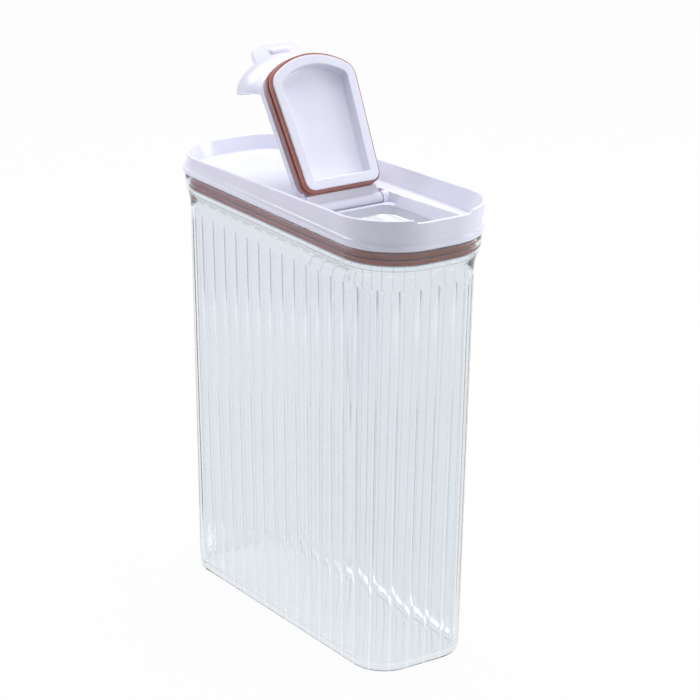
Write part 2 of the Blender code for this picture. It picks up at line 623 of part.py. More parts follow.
def build_cap_shell(collection, tools, material, cap):
    """Build the cap's outer moulding: flared skirt, ramped top, tab with its rib, and hinge arm with its barrel."""
    envelope = [cap_ring(0.0, SKIRT_BOTTOM)]
    for index in range(FLARE_POINTS + 1):
        turn = math.pi / 2 * index / FLARE_POINTS
        height = PLATE_TOP + (LIP_UNDERSIDE - PLATE_TOP) * math.sin(turn)
        envelope.append(cap_ring(LIP_REACH * (1 - math.cos(turn)), height))
    envelope.append(cap_ring(LIP_REACH, LIP_TOP + CLEAR))
    part = add_part("cap_shell", loft("cap_shell", envelope), collection, material, cap)
    surface = side_extrusion("cap_top", top_profile(0.0, 0.0), CLEAR)
    combine(part, "INTERSECT", add_tool("cap_top", surface, tools, cap))

    # The tab rises from the lip, over the notch in the lid's rim
    corner_x = TAB_END - TAB_CORNER
    corner_y = TAB_HALF_WIDTH - TAB_CORNER
    tab_plan = arc(Vector((corner_x, -corner_y)), TAB_CORNER, -math.pi / 2, 0.0, ARC_POINTS)
    tab_plan += arc(Vector((corner_x, corner_y)), TAB_CORNER, 0.0, math.pi / 2, ARC_POINTS)
    tab_plan += [Vector((RAMP_END, TAB_HALF_WIDTH)), Vector((RAMP_END, -TAB_HALF_WIDTH))]
    slope = TAB_RISE / (TAB_END - RAMP_END)
    tab_outline = []
    for point in tab_plan:
        tab_outline.append(Vector((point.x, point.y, TAB_UNDERSIDE + slope * (point.x - RAMP_END))))
    tab_mesh = extrusion("tab", tab_outline, Vector((0, 0, TAB_THICKNESS)))
    combine(part, "UNION", add_tool("tab", tab_mesh, tools, cap))
    rib_z = TAB_UNDERSIDE + slope * (TAB_RIB_X - RAMP_END)
    rib = rod("tab_rib", TAB_RIB_RADIUS, -TAB_RIB_HALF_LENGTH, TAB_RIB_HALF_LENGTH, TAB_RIB_X, rib_z)
    combine(part, "UNION", add_tool("tab_rib", rib, tools, cap))

    # Hollow from below, one wall inside the skirt and one plate below the top
    plate = PLATE_TOP - PLATE_UNDERSIDE
    hollow_rings = [cap_ring(-SKIRT_WALL, -CLEAR / 2), cap_ring(-SKIRT_WALL, CLEAR)]
    hollow = add_tool("cap_hollow", loft("cap_hollow", hollow_rings), tools, cap)
    under = side_extrusion("cap_under", top_profile(plate, 0.0), CLEAR)
    combine(hollow, "INTERSECT", add_tool("cap_under", under, tools, cap))
    combine(part, "DIFFERENCE", hollow)

    # The arm falls from the top to the hinge barrel
    skirt_back = CAP_START + SKIRT_WALL
    arm_profile = [
        (0.0, BARREL_RADIUS - 0.1 * MM), (CAP_START / 2, BARREL_RADIUS + 0.3 * MM), (CAP_START, BARREL_RADIUS + 1.4 * MM),
        (skirt_back - GAP, BARREL_RADIUS + 2.4 * MM), (skirt_back - GAP, SKIRT_BOTTOM),
        (CAP_START - SEAL_BACK_REACH * 2, SKIRT_BOTTOM), (BARREL_RADIUS, -1.0 * MM), (0.0, -1.0 * MM),
    ]
    arm = add_tool("arm", side_extrusion("arm", arm_profile, ARM_HALF_WIDTH - CAP_HINGE_CORNER), tools, cap)
    combine(part, "UNION", arm)
    barrel = rod("barrel", BARREL_RADIUS, -ARM_HALF_WIDTH, ARM_HALF_WIDTH)
    combine(part, "UNION", add_tool("barrel", barrel, tools, cap))
    bore = rod("cap_bore", BORE_RADIUS, -CLEAR, CLEAR)
    combine(part, "DIFFERENCE", add_tool("cap_bore", bore, tools, cap))
    return part


def build_hinge_pin(collection, material, lid):
    """Build the pin that the ears hold and the cap turns on."""
    mesh = rod("hinge_pin", PIN_RADIUS, -PIN_HALF_LENGTH, PIN_HALF_LENGTH, HINGE_X, HINGE_Z)
    part = add_part("hinge_pin", mesh, collection, material, lid)
    smooth(part)
    return part


def main():
    """Build every sub-part and stand the cap open."""
    clear_scene()
    parts = new_collection("cereal_dispenser")
    tools = new_collection("cutters")
    lid = add_empty("lid_lift", (0, 0, 0), parts)
    cap = add_empty("cap_hinge", (HINGE_X, 0, HINGE_Z), parts, lid)
    cap.rotation_euler = (0, -CAP_OPEN, 0)

    build_container(parts, make_material("clear plastic", CLEAR_PLASTIC))
    build_lid_cover(parts, tools, make_material("lid white plastic", WHITE_PLASTIC), lid)
    build_lid_underplate(parts, tools, make_material("underplate white plastic", WHITE_PLASTIC), lid)
    build_lid_gasket(parts, make_material("lid rose silicone", ROSE_SILICONE), lid)
    build_hinge_pin(parts, make_material("pin steel", PIN_STEEL, metallic=1.0), lid)
    build_cap_shell(parts, tools, make_material("shell white plastic", WHITE_PLASTIC), cap)
    build_cap_liner(parts, make_material("liner white plastic", WHITE_PLASTIC), cap)
    build_cap_gasket(parts, make_material("cap rose silicone", ROSE_SILICONE), cap)


main()
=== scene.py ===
"""Cereal dispenser: a clear fluted container, a lift-off lid and a flip pouring cap.

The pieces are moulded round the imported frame, in metres, with +Z up and the pouring end at +X.
The cap's pieces are modelled shut, about the hinge axis, and then turned open.
"""
import logging
import math
from dataclasses import dataclass, field
from enum import Enum

import bmesh
import bpy
from mathutils import Matrix, Vector


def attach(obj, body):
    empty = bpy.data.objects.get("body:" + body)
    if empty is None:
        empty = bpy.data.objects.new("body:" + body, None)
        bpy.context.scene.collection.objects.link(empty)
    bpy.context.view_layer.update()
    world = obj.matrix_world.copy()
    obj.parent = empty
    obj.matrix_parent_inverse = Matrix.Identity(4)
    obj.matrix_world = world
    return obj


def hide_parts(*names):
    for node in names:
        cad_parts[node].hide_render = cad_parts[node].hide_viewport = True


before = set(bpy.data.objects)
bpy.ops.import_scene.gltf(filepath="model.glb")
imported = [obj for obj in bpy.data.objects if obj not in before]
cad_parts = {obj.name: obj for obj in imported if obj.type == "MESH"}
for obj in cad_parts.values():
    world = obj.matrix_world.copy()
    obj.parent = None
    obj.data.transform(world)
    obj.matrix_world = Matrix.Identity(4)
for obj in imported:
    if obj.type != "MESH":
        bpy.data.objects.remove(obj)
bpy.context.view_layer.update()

MM = 0.001
LOG = logging.getLogger("cereal_dispenser")

Piece = bpy.types.Object
Tree = bpy.types.NodeTree
Socket = bpy.types.NodeSocket
Pair = tuple[float, float]
Triple = tuple[float, float, float]
Ring = list[Vector]
Section = list[Pair]
Stops = tuple[Pair, ...]


class Body(Enum):
    """The frame's bodies that a piece can ride on."""
    CONTAINER = "container"
    LID = "lid"
    CAP = "cap"


class Slot(Enum):
    """The record's material slots."""
    CLEAR = "clear_plastic"
    WHITE = "white_plastic"
    ROSE = "rose_silicone"
    STEEL = "pin_steel"


class Merge(Enum):
    """What a tool does to a piece."""
    JOIN = "UNION"
    CUT = "DIFFERENCE"
    KEEP = "INTERSECT"


# ---------------------------------------------------------------- plans and sections

CORNERS = ((1, 1), (-1, 1), (-1, -1), (1, -1))


def share_of(value: float, low: float, high: float) -> float:
    """Return how far a value lies from low to high, kept between 0 and 1."""
    return min(max((value - low) / (high - low), 0.0), 1.0)


def arc(centre: Pair, radius: float, start: float, end: float, steps: int) -> Section:
    """Return points on an arc.

    Args:
        centre: The arc's centre.
        radius: The arc's radius.
        start: The first angle in degrees.
        end: The last angle in degrees.
        steps: The number of chords.

    Returns:
        The points, both ends included.
    """
    points = []
    for index in range(steps + 1):
        angle = math.radians(start + (end - start) * index / steps)
        points.append((centre[0] + radius * math.cos(angle), centre[1] + radius * math.sin(angle)))
    return points


def sweep(first: Pair, corner: Pair, last: Pair,
          steps: int) -> Section:
    """Return a soft curve that leaves the first point for the corner and comes to the last from it.

    Args:
        first: Where the curve starts.
        corner: The point that both ends head for.
        last: Where the curve ends.
        steps: The number of chords.

    Returns:
        The points, both ends included.
    """
    points = []
    for index in range(steps + 1):
        t = index / steps
        weights = ((1 - t) ** 2, 2 * t * (1 - t), t ** 2)
        points.append(tuple(sum(w * p[axis] for w, p in zip(weights, (first, corner, last))) for axis in (0, 1)))
    return points


@dataclass(frozen=True)
class BoxPlan:
    """A box plan with round corners, centred on the origin."""
    half_length: float
    half_width: float
    corner: float

    def grown(self, amount: float) -> "BoxPlan":
        """Return the plan offset outwards by an amount."""
        return BoxPlan(self.half_length + amount, self.half_width + amount, self.corner + amount)

    def mixed(self, other: "BoxPlan", share: float) -> "BoxPlan":
        """Return the plan a share of the way to another."""
        pairs = ((self.half_length, other.half_length), (self.half_width, other.half_width),
                 (self.corner, other.corner))
        return BoxPlan(*(low + (high - low) * share for low, high in pairs))

    def centre(self, turn: int) -> Pair:
        """Return the centre of a corner, numbered anticlockwise from the front."""
        side_x, side_y = CORNERS[turn]
        return side_x * (self.half_length - self.corner), side_y * (self.half_width - self.corner)

    def outline(self, steps: int) -> Section:
        """Return the plan's points anticlockwise from the front, with a number of chords to each corner."""
        points = []
        for turn in range(len(CORNERS)):
            points += arc(self.centre(turn), self.corner, turn * 90, turn * 90 + 90, steps)
        return points

    def walk(self, share: float) -> tuple[Vector, Vector]:
        """Walk round the plan from the middle of its front.

        Args:
            share: How far round, from 0 to 1.

        Returns:
            The point there and the outward normal.
        """
        end_run = self.half_width - self.corner
        side_run = 2 * (self.half_length - self.corner)
        quarter = math.pi / 2 * self.corner
        runs = (end_run, quarter, side_run, quarter, 2 * end_run, quarter, side_run, quarter, end_run)
        left = (share % 1.0) * sum(runs)
        leg = 0
        while leg < len(runs) - 1 and left > runs[leg]:
            left -= runs[leg]
            leg += 1
        turn = leg // 2
        if leg % 2:
            angle = turn * math.pi / 2 + left / self.corner
            normal = Vector((math.cos(angle), math.sin(angle)))
            return Vector(self.centre(turn)) + normal * self.corner, normal
        heading = (leg + 1) // 2 * math.pi / 2
        normal = Vector((math.cos(heading), math.sin(heading)))
        starts = ((self.half_length, 0), (self.half_length - self.corner, self.half_width),
                  (-self.half_length, self.half_width - self.corner),
                  (-self.half_length + self.corner, -self.half_width),
                  (self.half_length, -self.half_width + self.corner))
        return Vector(starts[turn]) + Vector((-normal.y, normal.x)) * left, normal


NECK = BoxPlan(96.5 * MM, 37.8 * MM, 30.5 * MM)
CORNER_STEPS = 26


def neck_ring(back: Pair, front: Pair | None = None) -> Ring:
    """Return a ring round the neck's plan that can change evenly from back to front.

    Args:
        back: Offset from the neck's outside and height at the back, in mm.
        front: The same at the front, where they differ.

    Returns:
        The ring's points.
    """
    front = front or back
    ring = []
    plain = NECK.outline(CORNER_STEPS)
    behind = NECK.grown(back[0] * MM).outline(CORNER_STEPS)
    ahead = NECK.grown(front[0] * MM).outline(CORNER_STEPS)
    for middle, low, high in zip(plain, behind, ahead):
        share = (middle[0] / NECK.half_length + 1) / 2
        x, y = (a + (b - a) * share for a, b in zip(low, high))
        rise = (x / NECK.half_length + 1) / 2
        ring.append(Vector((x, y, (back[1] + (front[1] - back[1]) * rise) * MM)))
    return ring


@dataclass(frozen=True)
class CapPlan:
    """The cap's plan in mm from the hinge axis: a square hinge end, spreading sides and an arched far end."""
    start: float = 7.5
    length: float = 69.0
    hinge_half_width: float = 22.0
    front_half_width: float = 25.2
    arch: float = 9.9
    hinge_corner: float = 5.6
    front_corner: float = 9.1
    arch_steps: int = 20
    corner_steps: int = 16
    side_steps: int = 12

    def outline(self, offset: float) -> Section:
        """Return the plan's points in mm, offset outwards."""
        slant = math.atan2(self.front_half_width - self.hinge_half_width, self.length - self.arch)
        radius = (self.front_half_width ** 2 + self.arch ** 2) / (2 * self.arch)
        arch_x = self.length - radius
        hinge_y = self.hinge_half_width - self.hinge_corner * (1 - math.sin(slant)) / math.cos(slant)
        # The far corner's centre lies one corner radius inside both the side and the arch
        slope = math.tan(slant)
        base = self.hinge_half_width - self.front_corner / math.cos(slant)
        a = 1 + slope ** 2
        b = 2 * (slope * base - arch_x)
        c = arch_x ** 2 + base ** 2 - (radius - self.front_corner) ** 2
        front_x = (-b + math.sqrt(b * b - 4 * a * c)) / (2 * a)
        front_y = slope * front_x + base
        lean = math.degrees(math.atan2(front_y, front_x - arch_x))
        side = 90 + math.degrees(slant)
        half = arc((self.start + arch_x, 0), radius + offset, 0, lean, self.arch_steps)
        half += arc((self.start + front_x, front_y), self.front_corner + offset, lean, side, self.corner_steps)[1:]
        back = arc((self.start + self.hinge_corner, hinge_y), self.hinge_corner + offset, side, 180, self.corner_steps)
        near, far = half[-1], back[0]
        for index in range(1, self.side_steps):
            share = index / self.side_steps
            half.append((near[0] + (far[0] - near[0]) * share, near[1] + (far[1] - near[1]) * share))
        half += back + [(back[-1][0], 0.0)]
        return half + [(x, -y) for x, y in reversed(half[1:-1])]

    def ring(self, offset: float, height: float) -> Ring:
        """Return the plan's points in metres at a height in mm."""
        return [Vector((x, y, height)) * MM for x, y in self.outline(offset)]


CAP_PLAN = CapPlan()
HINGE = Vector((13.4, 0, 221.75)) * MM
CAP_OPEN = math.radians(-120.0)
CAP_PLACE = Matrix.Translation(HINGE) @ Matrix.Rotation(CAP_OPEN, 4, "Y")
LID_PLACE = Matrix.Translation(HINGE)
PIN_BORE = 1.65
ROUND_STEPS = 48
CLEAR_OF = 60.0
# The mesh attribute whose marks tell the clear finish where to paint shade and highlights
MARK = "across_flute"


# ---------------------------------------------------------------- the moulder's bench

class Bench:
    """Edit-mode steps that the pieces share."""

    @staticmethod
    def start(name: str, points: int) -> Piece:
        """Add a circle, with nothing else selected, and open it in edit mode.

        Args:
            name: The piece's name.
            points: The number of points round it.

        Returns:
            The new object.
        """
        bpy.ops.object.select_all(action="DESELECT")
        bpy.ops.mesh.primitive_circle_add(vertices=points, radius=10 * MM, fill_type="NOTHING")
        piece = bpy.context.object
        piece.name = piece.data.name = name
        bpy.ops.object.mode_set(mode="EDIT")
        bpy.ops.mesh.select_all(action="SELECT")
        return piece

    @staticmethod
    def choose(piece: Piece, points: list[int]) -> None:
        """Select only some of a mesh's points, and the edges and faces between them.

        Args:
            piece: The object in edit mode.
            points: Numbers of the points.
        """
        shape = bmesh.from_edit_mesh(piece.data)
        shape.verts.ensure_lookup_table()
        bpy.ops.mesh.select_all(action="DESELECT")
        for point in points:
            shape.verts[point].select = True
        shape.select_flush(True)
        bmesh.update_edit_mesh(piece.data)

    @staticmethod
    def place(piece: Piece, points: list[int], ring: Ring) -> None:
        """Move points to the places of a ring.

        Args:
            piece: The object in edit mode.
            points: Numbers of the points.
            ring: Where they go, in the same order.
        """
        shape = bmesh.from_edit_mesh(piece.data)
        shape.verts.ensure_lookup_table()
        for point, spot in zip(points, ring):
            shape.verts[point].co = spot
        bmesh.update_edit_mesh(piece.data)

    @staticmethod
    def raised(piece: Piece, loop: list[int]) -> list[int]:
        """Extrude the selected loop.

        Args:
            piece: The object in edit mode.
            loop: Numbers of the loop's points.

        Returns:
            Numbers of the new points, in the old loop's order.
        """
        before = len(bmesh.from_edit_mesh(piece.data).verts)
        bpy.ops.mesh.extrude_edges_move()
        shape = bmesh.from_edit_mesh(piece.data)
        shape.verts.index_update()
        shape.verts.ensure_lookup_table()
        fresh = []
        for point in loop:
            vertex = shape.verts[point]
            ends = (edge.other_vert(vertex).index for edge in vertex.link_edges)
            fresh.append(next(end for end in ends if end >= before))
        return fresh

    @classmethod
    def grow(cls, name: str, rings: list[Ring]) -> tuple[Piece, list[list[int]]]:
        """Extrude a loop from ring to ring, and stay in edit mode.

        Args:
            name: The piece's name.
            rings: Rings with the same number of points.

        Returns:
            The object, and the numbers of each ring's points.
        """
        piece = cls.start(name, len(rings[0]))
        loops = [list(range(len(rings[0])))]
        cls.place(piece, loops[0], rings[0])
        for ring in rings[1:]:
            loops.append(cls.raised(piece, loops[-1]))
            cls.place(piece, loops[-1], ring)
        return piece, loops

    @classmethod
    def skin(cls, name: str, rings: list[Ring], closed: bool = False,
             marks: list[list[float]] | None = None) -> Piece:
        """Extrude a loop from ring to ring and close the piece.

        Args:
            name: The piece's name.
            rings: Rings with the same number of points.
            closed: Whether the last ring joins the first, or else both ends are filled.
            marks: A value for each point of each ring, kept on the mesh for its material.

        Returns:
            The object, in object mode, with its faces outwards.
        """
        piece, loops = cls.grow(name, rings)
        if closed:
            cls.choose(piece, loops[0] + loops[-1])
            bpy.ops.mesh.bridge_edge_loops()
        else:
            for loop in (loops[0], loops[-1]):
                cls.choose(piece, loop)
                bpy.ops.mesh.edge_face_add()
        cls.close(piece)
        if marks:
            kept = piece.data.attributes.new(MARK, "FLOAT", "POINT")
            for loop, values in zip(loops, marks):
                for point, value in zip(loop, values):
                    kept.data[point].value = value
        return piece

    @staticmethod
    def close(piece: Piece) -> Piece:
        """Turn a piece's faces outwards and leave edit mode."""
        bpy.ops.mesh.select_all(action="SELECT")
        bpy.ops.mesh.normals_make_consistent(inside=False)
        bpy.ops.object.mode_set(mode="OBJECT")
        return piece

    @classmethod
    def prism(cls, name: str, outline: Ring, depth: Vector) -> Piece:
        """Fill an outline and extrude it.

        Args:
            name: The piece's name.
            outline: The flat outline's points.
            depth: How far the outline is pushed.

        Returns:
            The object, in object mode.
        """
        piece = cls.start(name, len(outline))
        cls.place(piece, list(range(len(outline))), outline)
        bpy.ops.mesh.edge_face_add()
        bpy.ops.mesh.extrude_region_move(TRANSFORM_OT_translate={"value": depth})
        return cls.close(piece)

    @classmethod
    def across(cls, name: str, profile: Section, half_width: float, middle: float = 0.0) -> Piece:
        """Extrude a side profile across the width.

        Args:
            name: The piece's name.
            profile: Points of the profile as (x, z) in mm.
            half_width: Half of the width in mm.
            middle: The middle of the width in mm.

        Returns:
            The object, in object mode.
        """
        outline = [Vector((x, middle - half_width, z)) * MM for x, z in profile]
        return cls.prism(name, outline, Vector((0, 2 * half_width, 0)) * MM)

    @classmethod
    def rod(cls, name: str, centre: Pair, radius: float, half_width: float) -> Piece:
        """Return a round bar across the width, about a centre in the side view, in mm."""
        return cls.across(name, arc(centre, radius, 0, 360, ROUND_STEPS)[:-1], half_width)

    @staticmethod
    def only(piece: Piece) -> None:
        """Make a piece the active object and the only one selected."""
        bpy.ops.object.select_all(action="DESELECT")
        piece.select_set(True)
        bpy.context.view_layer.objects.active = piece

    @classmethod
    def turn(cls, piece: Piece, place: Matrix) -> Piece:
        """Put a piece in its place and apply that to its mesh."""
        cls.only(piece)
        piece.matrix_world = place
        bpy.ops.object.transform_apply(location=True, rotation=True, scale=True)
        return piece

    @staticmethod
    def apply(piece: Piece, kind: str, **settings: object) -> None:
        """Add a modifier with its settings and apply it."""
        modifier = piece.modifiers.new(kind.lower(), kind)
        for key, value in settings.items():
            setattr(modifier, key, value)
        bpy.context.view_layer.objects.active = piece
        bpy.ops.object.modifier_apply(modifier=modifier.name)

    @classmethod
    def merge(cls, piece: Piece, how: Merge, tool: Piece) -> None:
        """Join, cut or keep what a tool covers, and remove the tool."""
        cls.apply(piece, "BOOLEAN", operation=how.value, object=tool, solver="EXACT")
        bpy.data.objects.remove(tool, do_unlink=True)

    @classmethod
    def round_edges(cls, piece: Piece, width: float, steps: int = 3, angle: float = 35.0) -> None:
        """Bevel the edges that turn by more than an angle in degrees."""
        cls.apply(piece, "BEVEL", width=width * MM, segments=steps, limit_method="ANGLE",
                  angle_limit=math.radians(angle), use_clamp_overlap=True)

    @classmethod
    def smooth(cls, piece: Piece, angle: float = 32.0) -> None:
        """Shade a piece smooth, with its hard edges kept and its flats flat."""
        cls.only(piece)
        bpy.ops.object.shade_smooth_by_angle(angle=math.radians(angle))
        cls.apply(piece, "WEIGHTED_NORMAL", weight=80, keep_sharp=True)


# ---------------------------------------------------------------- finishes

def linear(code: str) -> tuple[float, float, float, float]:
    """Turn an sRGB hex code into a linear colour."""
    shares = [int(code[i:i + 2], 16) / 255 for i in (1, 3, 5)]
    return (*(s / 12.92 if s <= 0.04045 else ((s + 0.055) / 1.055) ** 2.4 for s in shares), 1.0)


def add_node(tree: Tree, kind: str, settings: dict | None = None,
             links: dict | None = None) -> bpy.types.Node:
    """Add a node.

    Args:
        tree: The material's or world's node tree.
        kind: The node's type.
        settings: Values for its sockets, by name or number, or for its own properties.
        links: Output sockets that feed its input sockets, by name or number.

    Returns:
        The node.
    """
    node = tree.nodes.new(kind)
    for key, value in (settings or {}).items():
        if isinstance(key, int) or key in node.inputs:
            node.inputs[key].default_value = value
        else:
            setattr(node, key, value)
    for key, source in (links or {}).items():
        tree.links.new(source, node.inputs[key])
    return node


@dataclass(frozen=True)
class Finish:
    """A moulded finish: two close colours that drift over the piece, a gloss that drifts, and a fine relief."""
    name: str
    colour: str
    drift: str
    drift_size: float
    roughness: Pair
    ior: float
    relief_size: float
    relief: float
    transmission: float = 0.0
    metallic: float = 0.0
    subsurface: float = 0.0
    sheen: float = 0.0
    stretch: Triple = (1.0, 1.0, 1.0)
    depth_tint: str = ""
    depth_density: float = 0.0
    drift_stops: Pair = (0.3, 0.7)
    bleed: float = 1.5
    relief_depth: float = 0.05

    def material(self) -> bpy.types.Material:
        """Return the finish as a node material; sizes are in mm on the piece."""
        made = bpy.data.materials.new(self.name)
        made.use_nodes = True
        tree = made.node_tree
        shader = tree.nodes["Principled BSDF"]
        constants = {"IOR": self.ior, "Metallic": self.metallic, "Transmission Weight": self.transmission,
                     "Subsurface Weight": self.subsurface, "Subsurface Scale": self.bleed * MM,
                     "Sheen Weight": self.sheen}
        for socket, value in constants.items():
            shader.inputs[socket].default_value = value
        where = add_node(tree, "ShaderNodeTexCoord").outputs["Object"]
        where = add_node(tree, "ShaderNodeMapping", {"Scale": self.stretch}, {"Vector": where}).outputs["Vector"]
        broad = add_node(tree, "ShaderNodeTexNoise", {"Scale": 1 / (self.drift_size * MM), "Detail": 3.0},
                         {"Vector": where}).outputs["Fac"]
        ramp = add_node(tree, "ShaderNodeValToRGB", links={"Fac": broad})
        for element, place, code in zip(ramp.color_ramp.elements, self.drift_stops, (self.drift, self.colour)):
            element.position, element.color = place, linear(code)
        tree.links.new(self.with_painted_light(tree, ramp.outputs["Color"]), shader.inputs["Base Color"])
        gloss = add_node(tree, "ShaderNodeMapRange", {"To Min": self.roughness[0], "To Max": self.roughness[1]},
                         {"Value": broad})
        tree.links.new(gloss.outputs["Result"], shader.inputs["Roughness"])
        fine = add_node(tree, "ShaderNodeTexNoise", {"Scale": 1 / (self.relief_size * MM), "Detail": 2.0},
                        {"Vector": where}).outputs["Fac"]
        bump = add_node(tree, "ShaderNodeBump", {"Strength": self.relief, "Distance": self.relief_depth * MM},
                        {"Height": fine})
        tree.links.new(bump.outputs["Normal"], shader.inputs["Normal"])
        if self.depth_density:
            depth = add_node(tree, "ShaderNodeVolumeAbsorption",
                             {"Color": linear(self.depth_tint), "Density": self.depth_density})
            tree.links.new(depth.outputs["Volume"], tree.nodes["Material Output"].inputs["Volume"])
        made.diffuse_color = linear(self.colour)
        return made

    def with_painted_light(self, tree: Tree, colour: Socket) -> Socket:
        """Return the colour as it is, with no painted light."""
        return colour


@dataclass(frozen=True)
class FlutedFinish(Finish):
    """A clear finish that paints stripes of shade and highlight by the marks on its mesh, on the faces towards the eye.

    A mark of -1 gets painted shade and a mark near 1 a painted highlight, so each ridge shows a stripe of painted
    shade with a painted glint beside it, where the real ridges bend the light. The stops give each stripe's strength,
    and the glint's edge, by height as a share of the body. That height is measured from a plane that rises towards
    the front.
    """
    # The colour of the painted shade stripes; the glint colour is the painted highlight
    painted_shade_colour: str = "#5C606C"
    glint: str = "#FFFFFF"
    glint_ior: float = 3.0
    body: float = 205.0
    tilt: float = 0.22
    painted_shade_width: float = 0.25
    painted_shade_stops: Stops = ((0.12, 0.0), (0.25, 0.45), (0.58, 0.5), (0.64, 0.0), (0.81, 0.0), (0.87, 1.0), (1.0, 1.0))
    painted_glint_stops: Stops = ((0.0, 1.0), (0.2, 1.0), (0.45, 0.7), (0.68, 0.25), (0.8, 1.0), (0.89, 0.6), (0.95, 0.3),
                          (0.99, 1.0))
    painted_glint_edge_stops: Stops = ((0.0, 0.7), (0.2, 0.78), (0.72, 0.86), (0.79, 0.3), (0.89, 0.9))

    @staticmethod
    def by_height(tree: Tree, stops: Stops, share: Socket) -> Socket:
        """Return a value that follows stops over the body's height.

        Args:
            tree: The material's node tree.
            stops: Heights as shares of the body, and the values there.
            share: The height's share.

        Returns:
            The value's socket.
        """
        ramp = add_node(tree, "ShaderNodeValToRGB", links={"Fac": share})
        while len(ramp.color_ramp.elements) < len(stops):
            ramp.color_ramp.elements.new(1.0)
        for element, (place, value) in zip(ramp.color_ramp.elements, stops):
            element.position = place
            element.color = (value, value, value, 1.0)
        return ramp.outputs["Color"]

    def with_painted_light(self, tree: Tree, colour: Socket) -> Socket:
        """Return the colour with the marks' stripes of painted shade and painted glint drawn into it."""
        side = add_node(tree, "ShaderNodeAttribute", {"attribute_name": MARK}).outputs["Fac"]
        where = add_node(tree, "ShaderNodeTexCoord").outputs["Object"]
        scale = 1 / (self.body * MM)
        upright = (-self.tilt * scale, 0.0, scale)
        share = add_node(tree, "ShaderNodeVectorMath", {"operation": "DOT_PRODUCT", 1: upright},
                         {0: where}).outputs["Value"]
        inside = add_node(tree, "ShaderNodeNewGeometry").outputs["Backfacing"]
        outside = add_node(tree, "ShaderNodeMath", {"operation": "SUBTRACT", 0: 1.0}, {1: inside}).outputs[0]
        # Painted shade on the side of each ridge where the mark is near -1
        painted_shade = add_node(tree, "ShaderNodeMapRange", {"From Min": -1.0, "From Max": self.painted_shade_width - 1.0,
                                                     "To Min": 1.0, "To Max": 0.0}, {"Value": side}).outputs[0]
        edge = self.by_height(tree, self.painted_glint_edge_stops, share)
        # Painted highlight where the mark rises from the glint's edge to 1
        light = add_node(tree, "ShaderNodeMapRange", {"From Max": 1.0}, {"Value": side, "From Min": edge}).outputs[0]
        for strength, stops, tone in ((painted_shade, self.painted_shade_stops, self.painted_shade_colour), (light, self.painted_glint_stops, self.glint)):
            for factor in (self.by_height(tree, stops, share), outside):
                strength = add_node(tree, "ShaderNodeMath", {"operation": "MULTIPLY"},
                                    {0: strength, 1: factor}).outputs[0]
            colour = add_node(tree, "ShaderNodeMix", {"data_type": "RGBA", 7: linear(tone)},
                              {0: strength, 6: colour}).outputs[2]
        # The coat's weight follows the painted glint's strength, so a real reflection is added only where the highlight
        # is painted
        shader = tree.nodes["Principled BSDF"]
        shader.inputs["Coat IOR"].default_value = self.glint_ior
        tree.links.new(strength, shader.inputs["Coat Weight"])
        return colour


# Injection-moulded SAN: clear with a cool grey cast in its thickness and a polished skin that waves slightly; its
# ridges get stripes of painted shade and painted glint
CLEAR_SAN = FlutedFinish("clear moulded SAN", "#EFF3F6", "#EDF1F4", 30.0, (0.015, 0.035), 1.56, 9.0, 0.08,
                         transmission=1.0, depth_tint="#BCC8D6", depth_density=20.0)
# Injection-moulded polypropylene filled white: cool, satin, with faint flow marks and a spark-eroded grain;
# the real grain of about 0.1 mm is drawn at 0.6 mm so that it shows
WHITE_POLYPROPYLENE = Finish("moulded white polypropylene", "#EEEFF9", "#EAEBF6", 22.0, (0.16, 0.24), 1.49, 0.6, 0.04,
                             subsurface=0.08)
# Compression-moulded silicone rubber: rose brown, matt, dusty at its lips
ROSE_SILICONE = Finish("moulded rose silicone", "#AC7065", "#9E6258", 6.0, (0.34, 0.46), 1.41, 0.5, 0.10, sheen=0.1)
# Drawn stainless steel wire: bright, with fine marks along its length
DRAWN_STEEL = Finish("drawn stainless steel", "#B9B9BC", "#A4A4A8", 1.2, (0.18, 0.32), 1.5, 0.3, 0.10, metallic=1.0,
                     stretch=(1.0, 0.05, 1.0))


@dataclass
class Dresser:
    """Gives finished pieces their slot's material and their body, and hides the CAD node that each stands for."""
    materials: dict[Slot, bpy.types.Material] = field(default_factory=dict)

    def __post_init__(self) -> None:
        """Make each slot's material once."""
        finishes = {Slot.CLEAR: CLEAR_SAN, Slot.WHITE: WHITE_POLYPROPYLENE, Slot.ROSE: ROSE_SILICONE,
                    Slot.STEEL: DRAWN_STEEL}
        self.materials = {slot: finish.material() for slot, finish in finishes.items()}

    def dress(self, piece: Piece, slot: Slot, body: Body, node: str) -> None:
        """Dress one piece.

        Args:
            piece: The finished object.
            slot: Its material slot.
            body: The body that it rides on.
            node: The CAD node that it stands for.
        """
        piece.data.materials.clear()
        piece.data.materials.append(self.materials[slot])
        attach(piece, body.value)
        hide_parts(node)
        LOG.info("%s: %d faces on %s", piece.name, len(piece.data.polygons), body.value)


# ---------------------------------------------------------------- container

